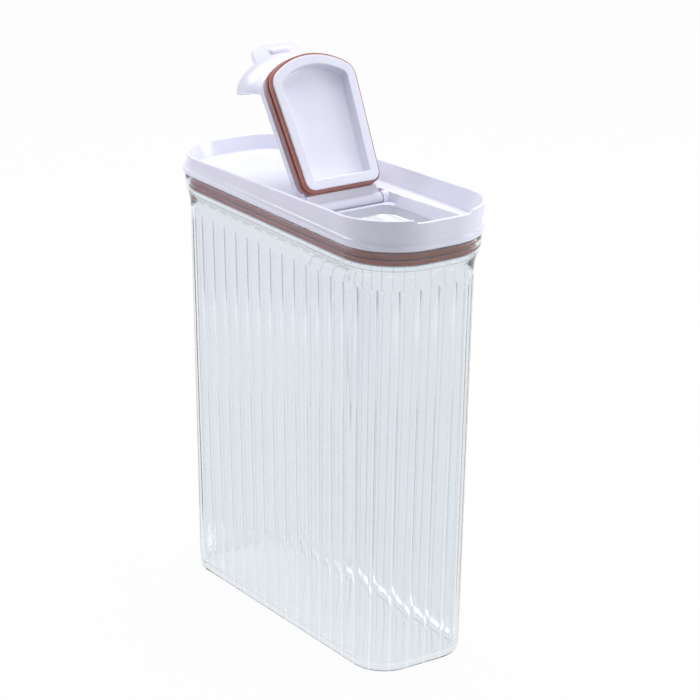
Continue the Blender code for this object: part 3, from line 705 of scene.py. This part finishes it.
@dataclass
class Container:
    """The clear box: round-topped flutes outside, a smooth wall inside, a round base edge and a wider neck."""
    flutes: int = 44
    flute_pitch: float = 10.4
    flute_depth: float = 0.19
    flute_power: float = 4.0
    flute_shares: tuple[float, ...] = (0.08, 0.16, 0.24, 0.3, 0.35, 0.39, 0.42, 0.445, 0.465, 0.48, 0.492)
    flute_top: float = 201.5
    flute_steps: int = 20
    base: BoxPlan = BoxPlan(88.0 * MM, 30.6 * MM, 19.0 * MM)
    base_edge: float = 4.0
    floor: float = 3.2
    wall: float = 2.2
    body_inset: float = 3.3
    lean: float = 0.75
    neck_foot: float = 217.0
    neck_top: float = 221.5
    neck_wall: float = 2.0
    neck_edge: float = 0.6
    neck_inner_edge: float = 0.4
    swell_middle: float = 210.8
    swell_rise: float = 3.54
    swell_drop: float = 0.6
    ledge: tuple[Pair, ...] = ((1.15, 212.05), (0.75, 212.2), (0.6, 212.5))
    wall_rings: tuple[float, ...] = (40.0, 90.0, 140.0)
    edge_steps: int = 6
    # Where across each flute the painted highlight dashes on the shoulder lie, and the plain rings before them and the
    # rings that carry them
    painted_dash: Pair = (-0.15, 0.35)
    painted_dash_rings: tuple[int, int] = (6, 2)
    # The fins of painted light at the foot of the inside, where they show, and the rings that carry them
    painted_fin: tuple[float, float, float, float] = (-8.7, 15.2, 15.5, 3.2)
    painted_fin_share: float = 0.85
    painted_fin_light: Pair = (0.7, 0.15)
    painted_fin_start: Pair = (-60.0, -10.0)
    painted_fin_side: Pair = (20.0, 26.0)
    painted_fin_rings: tuple[float, ...] = (24.0, 18.0, 14.0, 11.0, 9.0)
    smooth_angle: float = 22.0

    def plan(self, height: float, inset: float) -> BoxPlan:
        """Return the body's plan at a height, set in by a length, both in mm."""
        share = share_of(height, self.base_edge, self.flute_top)
        return self.base.mixed(self.shoulder(self.body_inset), share).grown(-inset * MM)

    def shoulder(self, inset: float) -> BoxPlan:
        """Return the plan between the body and the neck, at an inset from the neck in mm."""
        plan = NECK.grown(-inset * MM)
        share = share_of(inset, 0.0, self.body_inset)
        return BoxPlan(plan.half_length + self.lean * share * MM, plan.half_width, plan.corner)

    def swell(self) -> Section:
        """Return the soft curve from the body out to the neck's fine ledge, as insets and heights in mm."""
        inset, height, rise = self.body_inset, self.swell_middle, self.swell_rise
        low = sweep((inset, self.flute_top), (inset, height - rise), (inset / 2, height), 9)
        *foot, crest = self.ledge
        return low + foot + sweep(crest, (0.0, height + rise), (0.0, self.neck_foot), 7)

    def shares(self) -> list[float]:
        """Return where a flute's points lie, as shares of its pitch from its middle."""
        return [-0.5, *(-share for share in reversed(self.flute_shares)), 0.0, *self.flute_shares]

    def ring(self, plan: BoxPlan, height: float, strength: float = 0.0) -> Ring:
        """Return a ring of the container.

        Args:
            plan: The plan over the ridges between the flutes.
            height: The ring's height in mm.
            strength: How much of the flutes' depth is cut, from 0 to 1.

        Returns:
            The ring's points.
        """
        points = []
        half = self.flute_pitch / 2
        back = self.lean * share_of(height, 0.0, self.flute_top) * share_of(height, self.neck_foot, self.flute_top)
        for flute in range(self.flutes):
            for share in self.shares():
                spot, normal = plan.walk((flute + 0.5 + share) / self.flutes)
                reach = min(math.hypot(share * 2, max(height - self.flute_top + half, 0.0) / half), 1.0)
                spot = spot - normal * self.flute_depth * (1 - reach ** self.flute_power) * strength * MM
                points.append(Vector((spot.x - back * MM, spot.y, height * MM)))
        return points

    def outside(self) -> list[Ring]:
        """Return the rings from the base up to the neck's top edge."""
        edge = self.base_edge
        rings = []
        for x, z in arc((edge, edge), edge, 270, 180, self.edge_steps):
            rings.append(self.ring(self.plan(0.0, x), z, min(2 * z / edge, 1.0)))
        dome = self.flute_pitch / 2
        for height in self.wall_rings:
            rings.append(self.ring(self.plan(height, 0.0), height, 1.0))
        for step in range(self.flute_steps + 1):
            height = self.flute_top - dome * (1 - step / self.flute_steps)
            rings.append(self.ring(self.plan(height, 0.0), height, 1.0))
        for inset, height in self.swell()[1:]:
            rings.append(self.ring(self.shoulder(inset), height))
        round_off = self.neck_edge
        for x, z in arc((round_off, self.neck_top - round_off), round_off, 180, 90, 4):
            rings.append(self.ring(NECK.grown(-x * MM), z))
        return rings

    def inside(self) -> list[Ring]:
        """Return the rings from the neck's inner edge down to the floor."""
        rings = []
        wall, top, cut = self.neck_wall, self.neck_top, self.neck_inner_edge
        for inset, height in ((wall - cut, top), (wall, top - cut)):
            rings.append(self.ring(NECK.grown(-inset * MM), height))
        for inset, height in reversed(self.swell()):
            thick = wall + (self.wall - wall) * inset / self.body_inset
            rings.append(self.ring(self.shoulder(inset).grown(-thick * MM), height - self.swell_drop))
        for height in (*reversed(self.wall_rings), *self.painted_fin_rings):
            rings.append(self.ring(self.plan(height, self.wall), height))
        edge = self.base_edge
        for x, z in arc((edge, edge), edge, 180, 270, self.edge_steps):
            rings.append(self.ring(self.plan(0.0, self.wall + x), self.floor + z))
        return rings

    def painted_light_mark(self, spot: Vector) -> float:
        """Return the mark of a point low on the inside, where painted light climbs the long walls in fins, standing in
        for the floor's light that the flutes bend up them.
        """
        first, pitch, tip, foot = self.painted_fin
        x, y, z = spot / MM
        edge = tip + (foot - tip) * ((x - first) / pitch % 1.0) / self.painted_fin_share
        light, gain = self.painted_fin_light
        shown = share_of(x, *self.painted_fin_start) * share_of(abs(y), *self.painted_fin_side)
        return min(max(light + (edge - z) * gain, 0.0), 1.0) * shown

    def marks(self, rings: list[Ring]) -> list[list[float]]:
        """Mark the flutes outside for their painted shade and glint, a row of painted highlight dashes on the shoulder,
        and painted light at the foot of the inside and on its floor.

        Args:
            rings: The container's rings, from the base up the outside and down the inside to the floor.

        Returns:
            A mark for each point of each ring.
        """
        fluted = [2 * share for share in self.shares()] * self.flutes
        # Marks of 1 in the middle of each flute paint the highlight dashes on the shoulder's dome
        painted_dashes = [float(self.painted_dash[0] < share < self.painted_dash[1]) for share in self.shares()] * self.flutes
        plain = [0.0] * len(fluted)
        before, dashes = self.painted_dash_rings
        foot = len(self.painted_fin_rings) + self.edge_steps + 1
        marks = [fluted] * (self.edge_steps + 1 + len(self.wall_rings) + self.flute_steps)
        marks += [plain] * before + [painted_dashes] * dashes
        marks += [plain] * (len(rings) - len(marks) - foot)
        # The floor's rings rise to a mark of 1, painted light on the floor; the foot's rings take the painted fins
        for step, ring in enumerate(rings[-foot:], -len(self.painted_fin_rings)):
            marks.append([max(step / self.edge_steps, self.painted_light_mark(spot)) for spot in ring])
        return marks

    def build(self) -> Piece:
        """Return the container as one walled shell."""
        rings = self.outside() + self.inside()
        piece = Bench.skin("container_shell", rings, marks=self.marks(rings))
        bpy.ops.object.shade_smooth_by_angle(angle=math.radians(self.smooth_angle))
        return piece

    def dress(self, dresser: Dresser) -> None:
        """Build and dress the container."""
        dresser.dress(self.build(), Slot.CLEAR, Body.CONTAINER, "container")


# ---------------------------------------------------------------- lid

@dataclass
class Lid:
    """The lid: a white cover with a tray and pocket, an underplate, a two-lipped gasket and the hinge pin."""
    rim: Pair = (230.3, 237.5)
    floor: Pair = (222.0, 226.6)
    flare: Pair = (-0.9, 1.6)
    wall_foot: Pair = (-0.9, 0.3)
    wall_rise: float = 4.8
    floor_thickness: float = 2.0
    flange_reach: float = 1.3
    flange_underside: float = 221.8
    flange_round: float = 0.8
    bead: Triple = (0.45, 1.9, 60.0)
    rim_round: float = 0.8
    tray_foot: float = -4.6
    tray_round: Pair = (0.2, 2.2)
    plug_inset: float = 4.6
    plug_taper: float = 0.3
    opening_clearance: float = 0.95
    opening_edge: float = 220.0
    funnel_spread: float = 3.6
    funnel_top: float = 226.8
    trough: tuple[float, float, float, float] = (7.1, 17.0, 25.6, 218.3)
    tub_wall: float = 1.3
    tub_spread: Pair = (3.2, 5.2)
    tub_limit: Triple = (-6.5, 216.6, 237.0)
    seat: float = 219.2
    sill_end: float = 25.8
    window_end: float = 24.5
    above: float = 240.0
    notch: Triple = (15.4, 235.6, 1.6)
    notch_run: Pair = (85.0, 20.0)
    ear: Triple = (3.2, 22.0, 26.25)
    pin: Pair = (1.3, 25.0)
    pin_play: float = 0.3
    plate_flange: tuple[Pair, ...] = ((-3.0, 213.6), (-2.6, 213.8), (-2.6, 214.3))
    plate_top: Pair = (219.7, 221.5)
    plate_wall: float = 1.6
    plate_floor: float = 216.6
    plate_under: Pair = (200.0, 215.2)
    collar_top: float = 219.18
    seal: tuple[float, ...] = (-1.98, -1.98, -4.3, 214.6, 220.0)

    def side(self, end: int) -> Section:
        """Return the cover's section at the back (0) or at the front (1), as offsets and heights in mm."""
        rim, floor, flare, foot = (pair[end] for pair in (self.rim, self.floor, self.flare, self.wall_foot))
        low = self.flange_underside
        reach = self.flange_reach
        points = [(-self.plug_inset - self.plug_taper, floor - self.floor_thickness), (-self.plug_inset, low)]
        r = self.flange_round
        points += arc((reach - r, low + r), r, -90, 0, 5)
        r, height, turn = self.bead
        points += arc((reach - r, low + height), r, 0, turn, 3)
        x, z = points[-1]
        heading = z + (x - foot) / math.tan(math.radians(turn))
        points += sweep((x, z), (foot, heading), (foot, low + self.wall_rise), 6)[1:]
        r = self.rim_round
        points += arc((flare - r, rim - r), r, 0, 180, 10)
        tray, (lean, r) = self.tray_foot, self.tray_round
        return points + sweep((tray + lean, floor + r), (tray, floor), (tray - r, floor), 6)

    def cap_tool(self, name: str, low: Pair, high: Pair) -> Piece:
        """Return a block in the cap's plan, between two (offset, height) pairs from the hinge axis in mm."""
        return Bench.turn(Bench.skin(name, [CAP_PLAN.ring(*low), CAP_PLAN.ring(*high)]), LID_PLACE)

    def box_tool(self, name: str, x: Pair, half_width: float,
                 z: Pair) -> Piece:
        """Return a plain block between heights, for a cut or a wall, in mm."""
        return Bench.across(name, [(x[0], z[0]), (x[1], z[0]), (x[1], z[1]), (x[0], z[1])], half_width)

    def cover(self) -> Piece:
        """Return the cover with its pocket, notch and ears."""
        rings = [neck_ring(back, front) for back, front in zip(self.side(0), self.side(1))]
        piece = Bench.skin("lid_cover_shell", rings)
        drop = HINGE.z / MM
        start, end, half_width, low = self.trough
        wall, clear, edge = self.tub_wall, self.opening_clearance, self.opening_edge
        outer, top = half_width + wall, self.floor[0] + wall
        tub = self.cap_tool("funnel_tub", (self.tub_spread[0], self.seat - drop),
                            (self.tub_spread[1], self.floor[1] - self.floor_thickness - drop))
        inset, *heights = self.tub_limit
        Bench.merge(tub, Merge.KEEP, Bench.skin("tub_limit", [neck_ring((inset, height)) for height in heights]))
        steps = (
            (Merge.JOIN, tub),
            (Merge.JOIN, self.box_tool("trough_tub", (start - wall, end + wall), outer, (low - wall, top))),
            (Merge.JOIN, self.box_tool("sill", (end - wall, self.sill_end), outer, (self.seat, top))),
            (Merge.CUT, self.box_tool("trough", (start, end), half_width, (low, self.above))),
            (Merge.CUT, self.box_tool("window", (start, self.window_end), half_width, (edge, self.above))),
            (Merge.CUT, self.cap_tool("funnel", (clear, edge - drop),
                                      (clear + self.funnel_spread, self.funnel_top - drop))),
            (Merge.CUT, self.cap_tool("opening", (clear, -CLEAR_OF), (clear, CLEAR_OF))))
        for how, tool in steps:
            Bench.merge(piece, how, tool)
        self.cut_notch(piece)
        self.add_ears(piece)
        Bench.round_edges(piece, 0.3, 2, 40.0)
        Bench.smooth(piece)
        return piece

    def cut_notch(self, piece: Piece) -> None:
        """Cut the finger notch in the front rim, with sloping ends."""
        half, floor, slope = self.notch
        start, length = self.notch_run
        wide, top = half + 2 * slope, floor + 2 * slope
        outline = [Vector((start, y, z)) * MM for y, z in ((-half, floor), (half, floor), (wide, top), (-wide, top))]
        Bench.merge(piece, Merge.CUT, Bench.prism("notch", outline, Vector((length, 0, 0)) * MM))

    def add_ears(self, piece: Piece) -> None:
        """Add the hinge ears and drill the pin's bore through both."""
        radius, inside, outside = self.ear
        x, z = HINGE.x / MM, HINGE.z / MM
        low = self.trough[3] - self.tub_wall / 2
        profile = [(x + radius, low), *arc((x, z), radius, 0, 180, 24), (x - radius, low)]
        for side in (1, -1):
            ear = Bench.across("ear", profile, (outside - inside) / 2, side * (outside + inside) / 2)
            Bench.merge(piece, Merge.JOIN, ear)
        Bench.merge(piece, Merge.CUT, Bench.rod("bore", (x, z), PIN_BORE, self.pin[1] + self.pin_play))

    def underplate(self) -> Piece:
        """Return the plate that closes the lid from below, with the opening's collar."""
        drop = HINGE.z / MM
        inset, wall, clear = self.plug_inset, self.plate_wall, self.opening_clearance
        rings = [neck_ring(spot) for spot in (*self.plate_flange, (-inset, self.plate_flange[-1][1]))]
        rings.append(neck_ring(*((-inset - self.plug_taper, height) for height in self.plate_top)))
        piece = Bench.skin("lid_underplate_shell", rings)
        hollow, under = (Bench.skin(name, [neck_ring((-inset - wall, height)) for height in heights])
                         for name, heights in (("hollow", (self.plate_floor, self.above)), ("under", self.plate_under)))
        collar = self.cap_tool("collar", (clear + wall, -CLEAR_OF), (clear + wall, self.collar_top - drop))
        Bench.merge(hollow, Merge.CUT, collar)
        for tool in (hollow, under, self.cap_tool("way", (clear, -CLEAR_OF), (clear, CLEAR_OF))):
            Bench.merge(piece, Merge.CUT, tool)
        Bench.smooth(piece)
        return piece

    def gasket(self) -> Piece:
        """Return the gasket's ring of two round lips."""
        rings = [neck_ring(spot) for spot in two_lips(*self.seal)]
        piece = Bench.skin("lid_gasket_ring", rings, closed=True)
        Bench.smooth(piece, 50.0)
        return piece

    def hinge_pin(self) -> Piece:
        """Return the hinge pin with its ends chamfered."""
        piece = Bench.rod("hinge_pin_rod", (HINGE.x / MM, HINGE.z / MM), *self.pin)
        Bench.round_edges(piece, 0.25, 2)
        Bench.smooth(piece)
        return piece

    def dress(self, dresser: Dresser) -> None:
        """Build and dress the lid's pieces."""
        dresser.dress(self.cover(), Slot.WHITE, Body.LID, "lid_cover")
        dresser.dress(self.underplate(), Slot.WHITE, Body.LID, "lid_underplate")
        dresser.dress(self.gasket(), Slot.ROSE, Body.LID, "lid_gasket")
        dresser.dress(self.hinge_pin(), Slot.STEEL, Body.LID, "hinge_pin")


def two_lips(low_tip: float, high_tip: float, seat: float, bottom: float, top: float) -> Section:
    """Return the section of a seal with two round lips and a groove between.

    Args:
        low_tip: Offset of the lower lip's tip in mm.
        high_tip: Offset of the upper lip's tip.
        seat: Offset of the seal's inner face.
        bottom: Height of its underside.
        top: Height of its top.

    Returns:
        Offsets and heights, from the inner face out over both lips and back.
    """
    bulge, ease, gap, depth = 0.45, 0.05, 0.3, 1.65
    middle = (bottom + top) / 2
    half = (middle - bulge - bottom) / 2
    groove = min(low_tip, high_tip) - depth
    turns = [math.radians(degrees) for degrees in range(-90, 91, 18)]
    low, high = ([(tip - bulge + bulge * math.cos(turn), height + (half - ease) * math.sin(turn)) for turn in turns]
                 for tip, height in ((low_tip, bottom + half), (high_tip, top - half)))
    return [(seat, bottom), *low, (groove, middle - gap), (groove, middle + gap), *high, (seat, top)]


# ---------------------------------------------------------------- cap

@dataclass
class Cap:
    """The flip cap: an outer shell with lip, tab and hinge arm, the plug tray and the plug's seal."""
    skirt_bottom: float = 3.2
    arm_bottom: float = 0.45
    skirt_wall: float = 2.0
    skirt_edge: float = 0.4
    plate: Pair = (5.5, 7.2)
    lip: Pair = (15.4, 17.6)
    lip_reach: float = 7.6
    edge_round: float = 0.8
    edge_steps: int = 5
    ramp: Pair = (62.0, 67.5)
    ramp_cuts: int = 18
    flare_steps: int = 14
    halvings: int = 40
    weld: float = 0.002
    arm_half_width: float = 20.6
    barrel: Pair = (3.0, 21.6)
    tab: tuple[float, float, float, float] = (15.2, 73.0, 91.4, 8.0)
    tab_heights: Triple = (17.3, 3.0, 2.2)
    web: tuple[float, float, float, float] = (80.6, 1.8, 1.0, 0.6)
    rib: Triple = (86.4, 1.2, 6.2)
    rib_radius: float = 1.6
    rib_steps: int = 8
    recess_inset: float = 5.7
    recess_top: float = -0.4
    face: float = -6.2
    face_round: float = 0.55
    plug_side: float = -0.7
    seat: Pair = (-2.9, -5.5)
    liner_top: float = 5.2
    seal: tuple[float, ...] = (0.5, 0.9, -2.6, -5.2, 0.15)

    def top(self, x: float) -> float:
        """Return the height in mm of the cap's top above the hinge axis at a length along the cap."""
        low, high = self.plate[1], self.lip[1]
        return low + (high - low) * (1 - math.cos(math.pi * share_of(x, *self.ramp))) / 2

    def flare(self, height: float) -> float:
        """Return how far the side has flared at a height."""
        return self.lip_reach * (1 - math.sqrt(1 - share_of(height, self.plate[1], self.lip[0]) ** 2))

    def column(self, foot: Pair, out: Pair) -> Ring:
        """Return the points up the cap's side from one point of its plan.

        Args:
            foot: The plan's point in mm.
            out: The outward normal there.

        Returns:
            Points from the skirt's bottom, up the flare and over the round edge on to the top.
        """
        def spot(height: float) -> Vector:
            """Return the side's point at a height."""
            reach = self.flare(height)
            return Vector((foot[0] + out[0] * reach, foot[1] + out[1] * reach, height))

        # Halve the range of heights down to where the side meets the top
        low, high = self.skirt_bottom, self.lip[1]
        for _ in range(self.halvings):
            middle = (low + high) / 2
            if spot(middle).z < self.top(spot(middle).x):
                low = middle
            else:
                high = middle
        edge = spot(low)
        heights = [self.skirt_bottom, self.skirt_bottom + self.skirt_edge, min(self.plate[1], low)]
        for index in range(1, self.flare_steps + 1):
            turn = math.pi / 2 * index / self.flare_steps
            heights.append(min(self.plate[1] + (self.lip[0] - self.plate[1]) * math.sin(turn), low))
        inward = edge - Vector((out[0], out[1], 0)) * self.edge_round
        inward.z = self.top(inward.x)
        below = spot(max(low - self.edge_round, self.skirt_bottom))
        points = [point if point.z < below.z else below.copy() for point in map(spot, heights)]
        for index in range(1, self.edge_steps + 1):
            t = index / self.edge_steps
            points.append(below * (1 - t) ** 2 + edge * 2 * t * (1 - t) + inward * t ** 2)
        return points

    def shell(self) -> Piece:
        """Return the shell with its tab, rib, arm and barrel."""
        plan = CAP_PLAN.outline(0.0)
        grown = CAP_PLAN.outline(1.0)
        columns = [self.column(foot, (far[0] - foot[0], far[1] - foot[1])) for foot, far in zip(plan, grown)]
        drop = self.plate[1] - self.plate[0]
        inner = CAP_PLAN.outline(-self.skirt_wall)
        rings = [[Vector((x, y, self.top(x) - drop)) * MM for x, y in inner],
                 [Vector((x, y, self.skirt_bottom)) * MM for x, y in inner]]
        rings += [[column[level] * MM for column in columns] for level in range(len(columns[0]))]
        piece, loops = Bench.grow("cap_shell_body", rings)
        for loop, lower in ((loops[0], drop), (loops[-1], 0.0)):
            self.cover_over(piece, loop, lower)
        bpy.ops.mesh.select_all(action="SELECT")
        bpy.ops.mesh.remove_doubles(threshold=self.weld * MM)
        Bench.close(piece)
        barrel = Bench.rod("barrel", (0, 0), *self.barrel)
        Bench.round_edges(barrel, 0.4, 2)
        for tool in (self.tab_block(), self.arm_block(), barrel):
            Bench.merge(piece, Merge.JOIN, tool)
        Bench.merge(piece, Merge.CUT, Bench.rod("bore", (0, 0), PIN_BORE, CLEAR_OF))
        Bench.smooth(Bench.turn(piece, CAP_PLACE))
        return piece

    def cover_over(self, piece: Piece, loop: list[int], lower: float) -> None:
        """Fill a loop, cut the face across where the lip rises, and lay it on the cap's top or a plate below.

        Args:
            piece: The object in edit mode.
            loop: Numbers of the loop's points.
            lower: How far the face lies below the top in mm.
        """
        before = len(bmesh.from_edit_mesh(piece.data).verts)
        Bench.choose(piece, loop)
        bpy.ops.mesh.edge_face_add()
        low, high = self.ramp
        for cut in range(self.ramp_cuts + 1):
            fresh = range(before, len(bmesh.from_edit_mesh(piece.data).verts))
            Bench.choose(piece, loop + list(fresh))
            place = Vector((low + (high - low) * cut / self.ramp_cuts, 0, 0)) * MM
            bpy.ops.mesh.bisect(plane_co=place, plane_no=(1, 0, 0))
        shape = bmesh.from_edit_mesh(piece.data)
        shape.verts.ensure_lookup_table()
        for vertex in shape.verts[before:]:
            vertex.co.z = (self.top(vertex.co.x / MM) - lower) * MM
        bmesh.update_edit_mesh(piece.data)

    def tab_block(self) -> Piece:
        """Return the finger tab with round edges, the web down to the lip and the rib under it."""
        half, start, end, corner = self.tab
        low, rise, thick = self.tab_heights
        plan = arc((end - corner, -half + corner), corner, -90, 0, 14)
        plan += arc((end - corner, half - corner), corner, 0, 90, 14) + [(start, half), (start, -half)]
        slope = rise / (end - start)
        outline = [Vector((x, y, low + slope * (x - start))) * MM for x, y in plan]
        tab = Bench.prism("tab", outline, Vector((0, 0, thick)) * MM)
        Bench.round_edges(tab, 0.7, 3, 50.0)
        front, lean, sunk, into = self.web
        foot, tip = self.lip[1] - sunk, front + lean
        web = [(start, foot), (front, foot), (tip, low + slope * (tip - start) + into), (start, low + into)]
        Bench.merge(tab, Merge.JOIN, Bench.across("web", web, half - into))
        Bench.merge(tab, Merge.JOIN, self.rib_bar(low + slope * (self.rib[0] - start)))
        return tab

    def rib_bar(self, height: float) -> Piece:
        """Return the round-ended bar under the tab, with its axis at a height in mm."""
        x, y, half = self.rib
        rings = []
        for step in range(-self.rib_steps, self.rib_steps + 1):
            along = math.sin(math.pi / 2 * step / self.rib_steps)
            radius = self.rib_radius * math.sqrt(max(1 - abs(along) ** 6, 0.02))
            circle = arc((x, height), radius, 0, 360, 20)[:-1]
            rings.append([Vector((px, y + half * along, pz)) * MM for px, pz in circle])
        return Bench.skin("rib", rings)

    def arm_block(self) -> Piece:
        """Return the arm that falls from the cap's end to the hinge barrel."""
        start = CAP_PLAN.start
        back = start + self.skirt_wall - 0.3
        profile = [(0, 2.9)] + sweep((1.5, 3.0), (start - 1.0, 3.1), (back, 5.4), 10)
        profile += [(back, self.arm_bottom), (start - 1.0, self.arm_bottom), (start - 1.0, -1.4)]
        profile += sweep((4.4, -1.4), (3.2, -1.4), (2.4, -1.8), 4)
        profile += [(0, -1.8)]
        return Bench.across("arm", profile, self.arm_half_width)

    def liner(self) -> Piece:
        """Return the plug tray, from its recess floor round the plug's face and up to its top."""
        inset, top, face, r = self.recess_inset, self.recess_top, self.face, self.face_round
        section = sweep((-inset - 1.5, top), (-inset - 0.3, top), (-inset - 0.25, top - 1.2), 5)
        section += arc((-inset + r, face + r), r, 180, 270, 4)
        section += arc((self.plug_side - r, face + r), r, 270, 360, 4)
        seat, foot = self.seat
        section += [(self.plug_side, foot), (seat, foot), (seat, self.liner_top)]
        piece = Bench.skin("cap_liner_tray", [CAP_PLAN.ring(*spot) for spot in section])
        Bench.smooth(Bench.turn(piece, CAP_PLACE))
        return piece

    def gasket(self) -> Piece:
        """Return the plug's seal."""
        rings = [CAP_PLAN.ring(*spot) for spot in two_lips(*self.seal)]
        piece = Bench.skin("cap_gasket_ring", rings, closed=True)
        Bench.smooth(Bench.turn(piece, CAP_PLACE), 50.0)
        return piece

    def dress(self, dresser: Dresser) -> None:
        """Build and dress the cap's pieces."""
        dresser.dress(self.shell(), Slot.WHITE, Body.CAP, "cap_shell")
        dresser.dress(self.liner(), Slot.WHITE, Body.CAP, "cap_liner")
        dresser.dress(self.gasket(), Slot.ROSE, Body.CAP, "cap_gasket")


# ---------------------------------------------------------------- studio

@dataclass(frozen=True)
class Card:
    """A studio card: its place and size in metres, its turn in degrees, its colour, and whether it shades."""
    name: str
    place: Triple
    size: Pair
    turn: Triple
    colour: str
    shades: bool = False


@dataclass(frozen=True)
class Lamp:
    """A soft studio lamp: its place and size in metres, and its power in watts."""
    name: str
    place: Triple
    size: Pair
    power: float


LAMPS = (Lamp("overhead lamp", (-0.22, 0.15, 1.3), (0.9, 0.9), 11.0),
         Lamp("left lamp", (-0.9, -1.2, 0.19), (0.9, 0.28), 6.5),
         Lamp("right lamp", (0.8, 1.4, 0.5), (0.8, 0.6), 8.0),
         Lamp("front lamp", (1.1, 0.2, 1.0), (0.6, 0.6), 2.4))
CARDS = (Card("front card", (0.33, -0.42, 0.175), (1.5, 0.35), (90, 0, 38), "#3A3A40", shades=True),
         Card("side card", (-0.539, -0.843, 0.0005), (2.0, 1.2), (0, 0, -18.8), "#FFEBFF"))


@dataclass
class Studio:
    """A pale floor, soft lamps, matt cards, a white surround and the camera."""
    camera_place: Triple = (1.14341, -0.78009, 0.63353)
    camera_right: Triple = (0.5674, 0.8234, 0.0102)
    camera_back: Triple = (0.7739, -0.5374, 0.3350)
    focal_share: float = 2901.22 / 700
    sensor: float = 36.0
    view_end: float = 30.0
    ambient: float = 0.46
    ambient_colour: str = "#EEEEFF"
    white: str = "#FFFFFF"
    floor_size: float = 12.0
    floor_colour: str = "#F2F2F2"
    floor_glow: float = 0.96
    card_roughness: float = 0.9
    lamp_aim: Triple = (0, 0, 0.15)

    def seen(self, tree: Tree) -> Socket:
        """Return a socket that is 1 for rays from the camera, from gloss and through clear plastic."""
        path = add_node(tree, "ShaderNodeLightPath").outputs
        seen = path["Is Camera Ray"]
        for kind in ("Is Glossy Ray", "Is Transmission Ray"):
            seen = add_node(tree, "ShaderNodeMath", {"operation": "MAXIMUM"}, {0: seen, 1: path[kind]}).outputs[0]
        return seen

    def surround(self) -> None:
        """Make the world white where it is seen and softer as light."""
        world = bpy.data.worlds.new("studio surround")
        bpy.context.scene.world = world
        world.use_nodes = True
        tree = world.node_tree
        light = tree.nodes["Background"]
        light.inputs["Color"].default_value = linear(self.ambient_colour)
        light.inputs["Strength"].default_value = self.ambient
        white = add_node(tree, "ShaderNodeBackground", {"Color": linear(self.white), "Strength": 1.0})
        mixed = add_node(tree, "ShaderNodeMixShader", links={
            0: self.seen(tree), 1: light.outputs[0], 2: white.outputs[0]})
        tree.links.new(mixed.outputs[0], tree.nodes["World Output"].inputs["Surface"])

    def lay_floor(self) -> None:
        """Lay a pale floor that keeps the object's shadow."""
        bpy.ops.object.select_all(action="DESELECT")
        bpy.ops.mesh.primitive_plane_add(size=self.floor_size, location=(0, 0, 0))
        floor = bpy.context.object
        floor.name = "studio_floor"
        made = bpy.data.materials.new("pale studio floor")
        made.use_nodes = True
        tree = made.node_tree
        tree.nodes.clear()
        matt = add_node(tree, "ShaderNodeBsdfDiffuse", {"Color": linear(self.floor_colour)})
        glow = add_node(tree, "ShaderNodeEmission", {"Color": linear(self.white), "Strength": 1.0})
        share = add_node(tree, "ShaderNodeMath", {"operation": "MULTIPLY", 1: self.floor_glow}, {0: self.seen(tree)})
        mixed = add_node(tree, "ShaderNodeMixShader", links={
            0: share.outputs[0], 1: matt.outputs[0], 2: glow.outputs[0]})
        add_node(tree, "ShaderNodeOutputMaterial", links={"Surface": mixed.outputs[0]})
        floor.data.materials.append(made)

    def stand_card(self, card: Card) -> None:
        """Stand a matt card that the camera can't see: it either takes soft light away or shows in gloss."""
        bpy.ops.object.select_all(action="DESELECT")
        bpy.ops.mesh.primitive_plane_add(size=1.0, location=card.place)
        plane = bpy.context.object
        plane.name = card.name
        plane.scale = (*card.size, 1.0)
        plane.rotation_euler = [math.radians(turn) for turn in card.turn]
        made = bpy.data.materials.new(f"matt {card.name}")
        made.use_nodes = True
        inputs = made.node_tree.nodes["Principled BSDF"].inputs
        inputs["Base Color"].default_value = linear(card.colour)
        inputs["Roughness"].default_value = self.card_roughness
        plane.data.materials.append(made)
        plane.visible_camera = plane.visible_transmission = plane.visible_shadow = False
        plane.visible_diffuse = card.shades
        plane.visible_glossy = not card.shades

    def hang_lamp(self, lamp: Lamp) -> None:
        """Hang a soft lamp that faces the container."""
        bpy.ops.object.select_all(action="DESELECT")
        bpy.ops.object.light_add(type="AREA", location=lamp.place)
        hung = bpy.context.object
        hung.name = lamp.name
        hung.data.shape = "RECTANGLE"
        hung.data.size, hung.data.size_y = lamp.size
        hung.data.energy = lamp.power
        aim = Vector(self.lamp_aim) - Vector(lamp.place)
        hung.rotation_euler = aim.to_track_quat("-Z", "Y").to_euler()

    def set_camera(self) -> None:
        """Set the camera at the photograph's viewing angle."""
        back = Vector(self.camera_back).normalized()
        right = Vector(self.camera_right)
        right = (right - back * right.dot(back)).normalized()
        up = back.cross(right)
        data = bpy.data.cameras.new("view")
        data.sensor_width = self.sensor
        data.lens = self.focal_share * self.sensor
        data.clip_end = self.view_end
        camera = bpy.data.objects.new("view", data)
        bpy.context.scene.collection.objects.link(camera)
        camera.matrix_world = Matrix.Translation(self.camera_place) @ \
            Matrix((right, up, back)).transposed().to_4x4()
        bpy.context.scene.camera = camera

    def build(self) -> None:
        """Set up the whole studio."""
        self.surround()
        self.lay_floor()
        for lamp in LAMPS:
            self.hang_lamp(lamp)
        for card in CARDS:
            self.stand_card(card)
        self.set_camera()
        bpy.context.scene.view_settings.view_transform = "Standard"


def main() -> None:
    """Build every sub-assembly and the studio."""
    logging.basicConfig(level=logging.INFO, format="%(message)s")
    dresser = Dresser()
    for assembly in (Container(), Lid(), Cap()):
        assembly.dress(dresser)
    Studio().build()


if __name__ == "__main__":
    main()
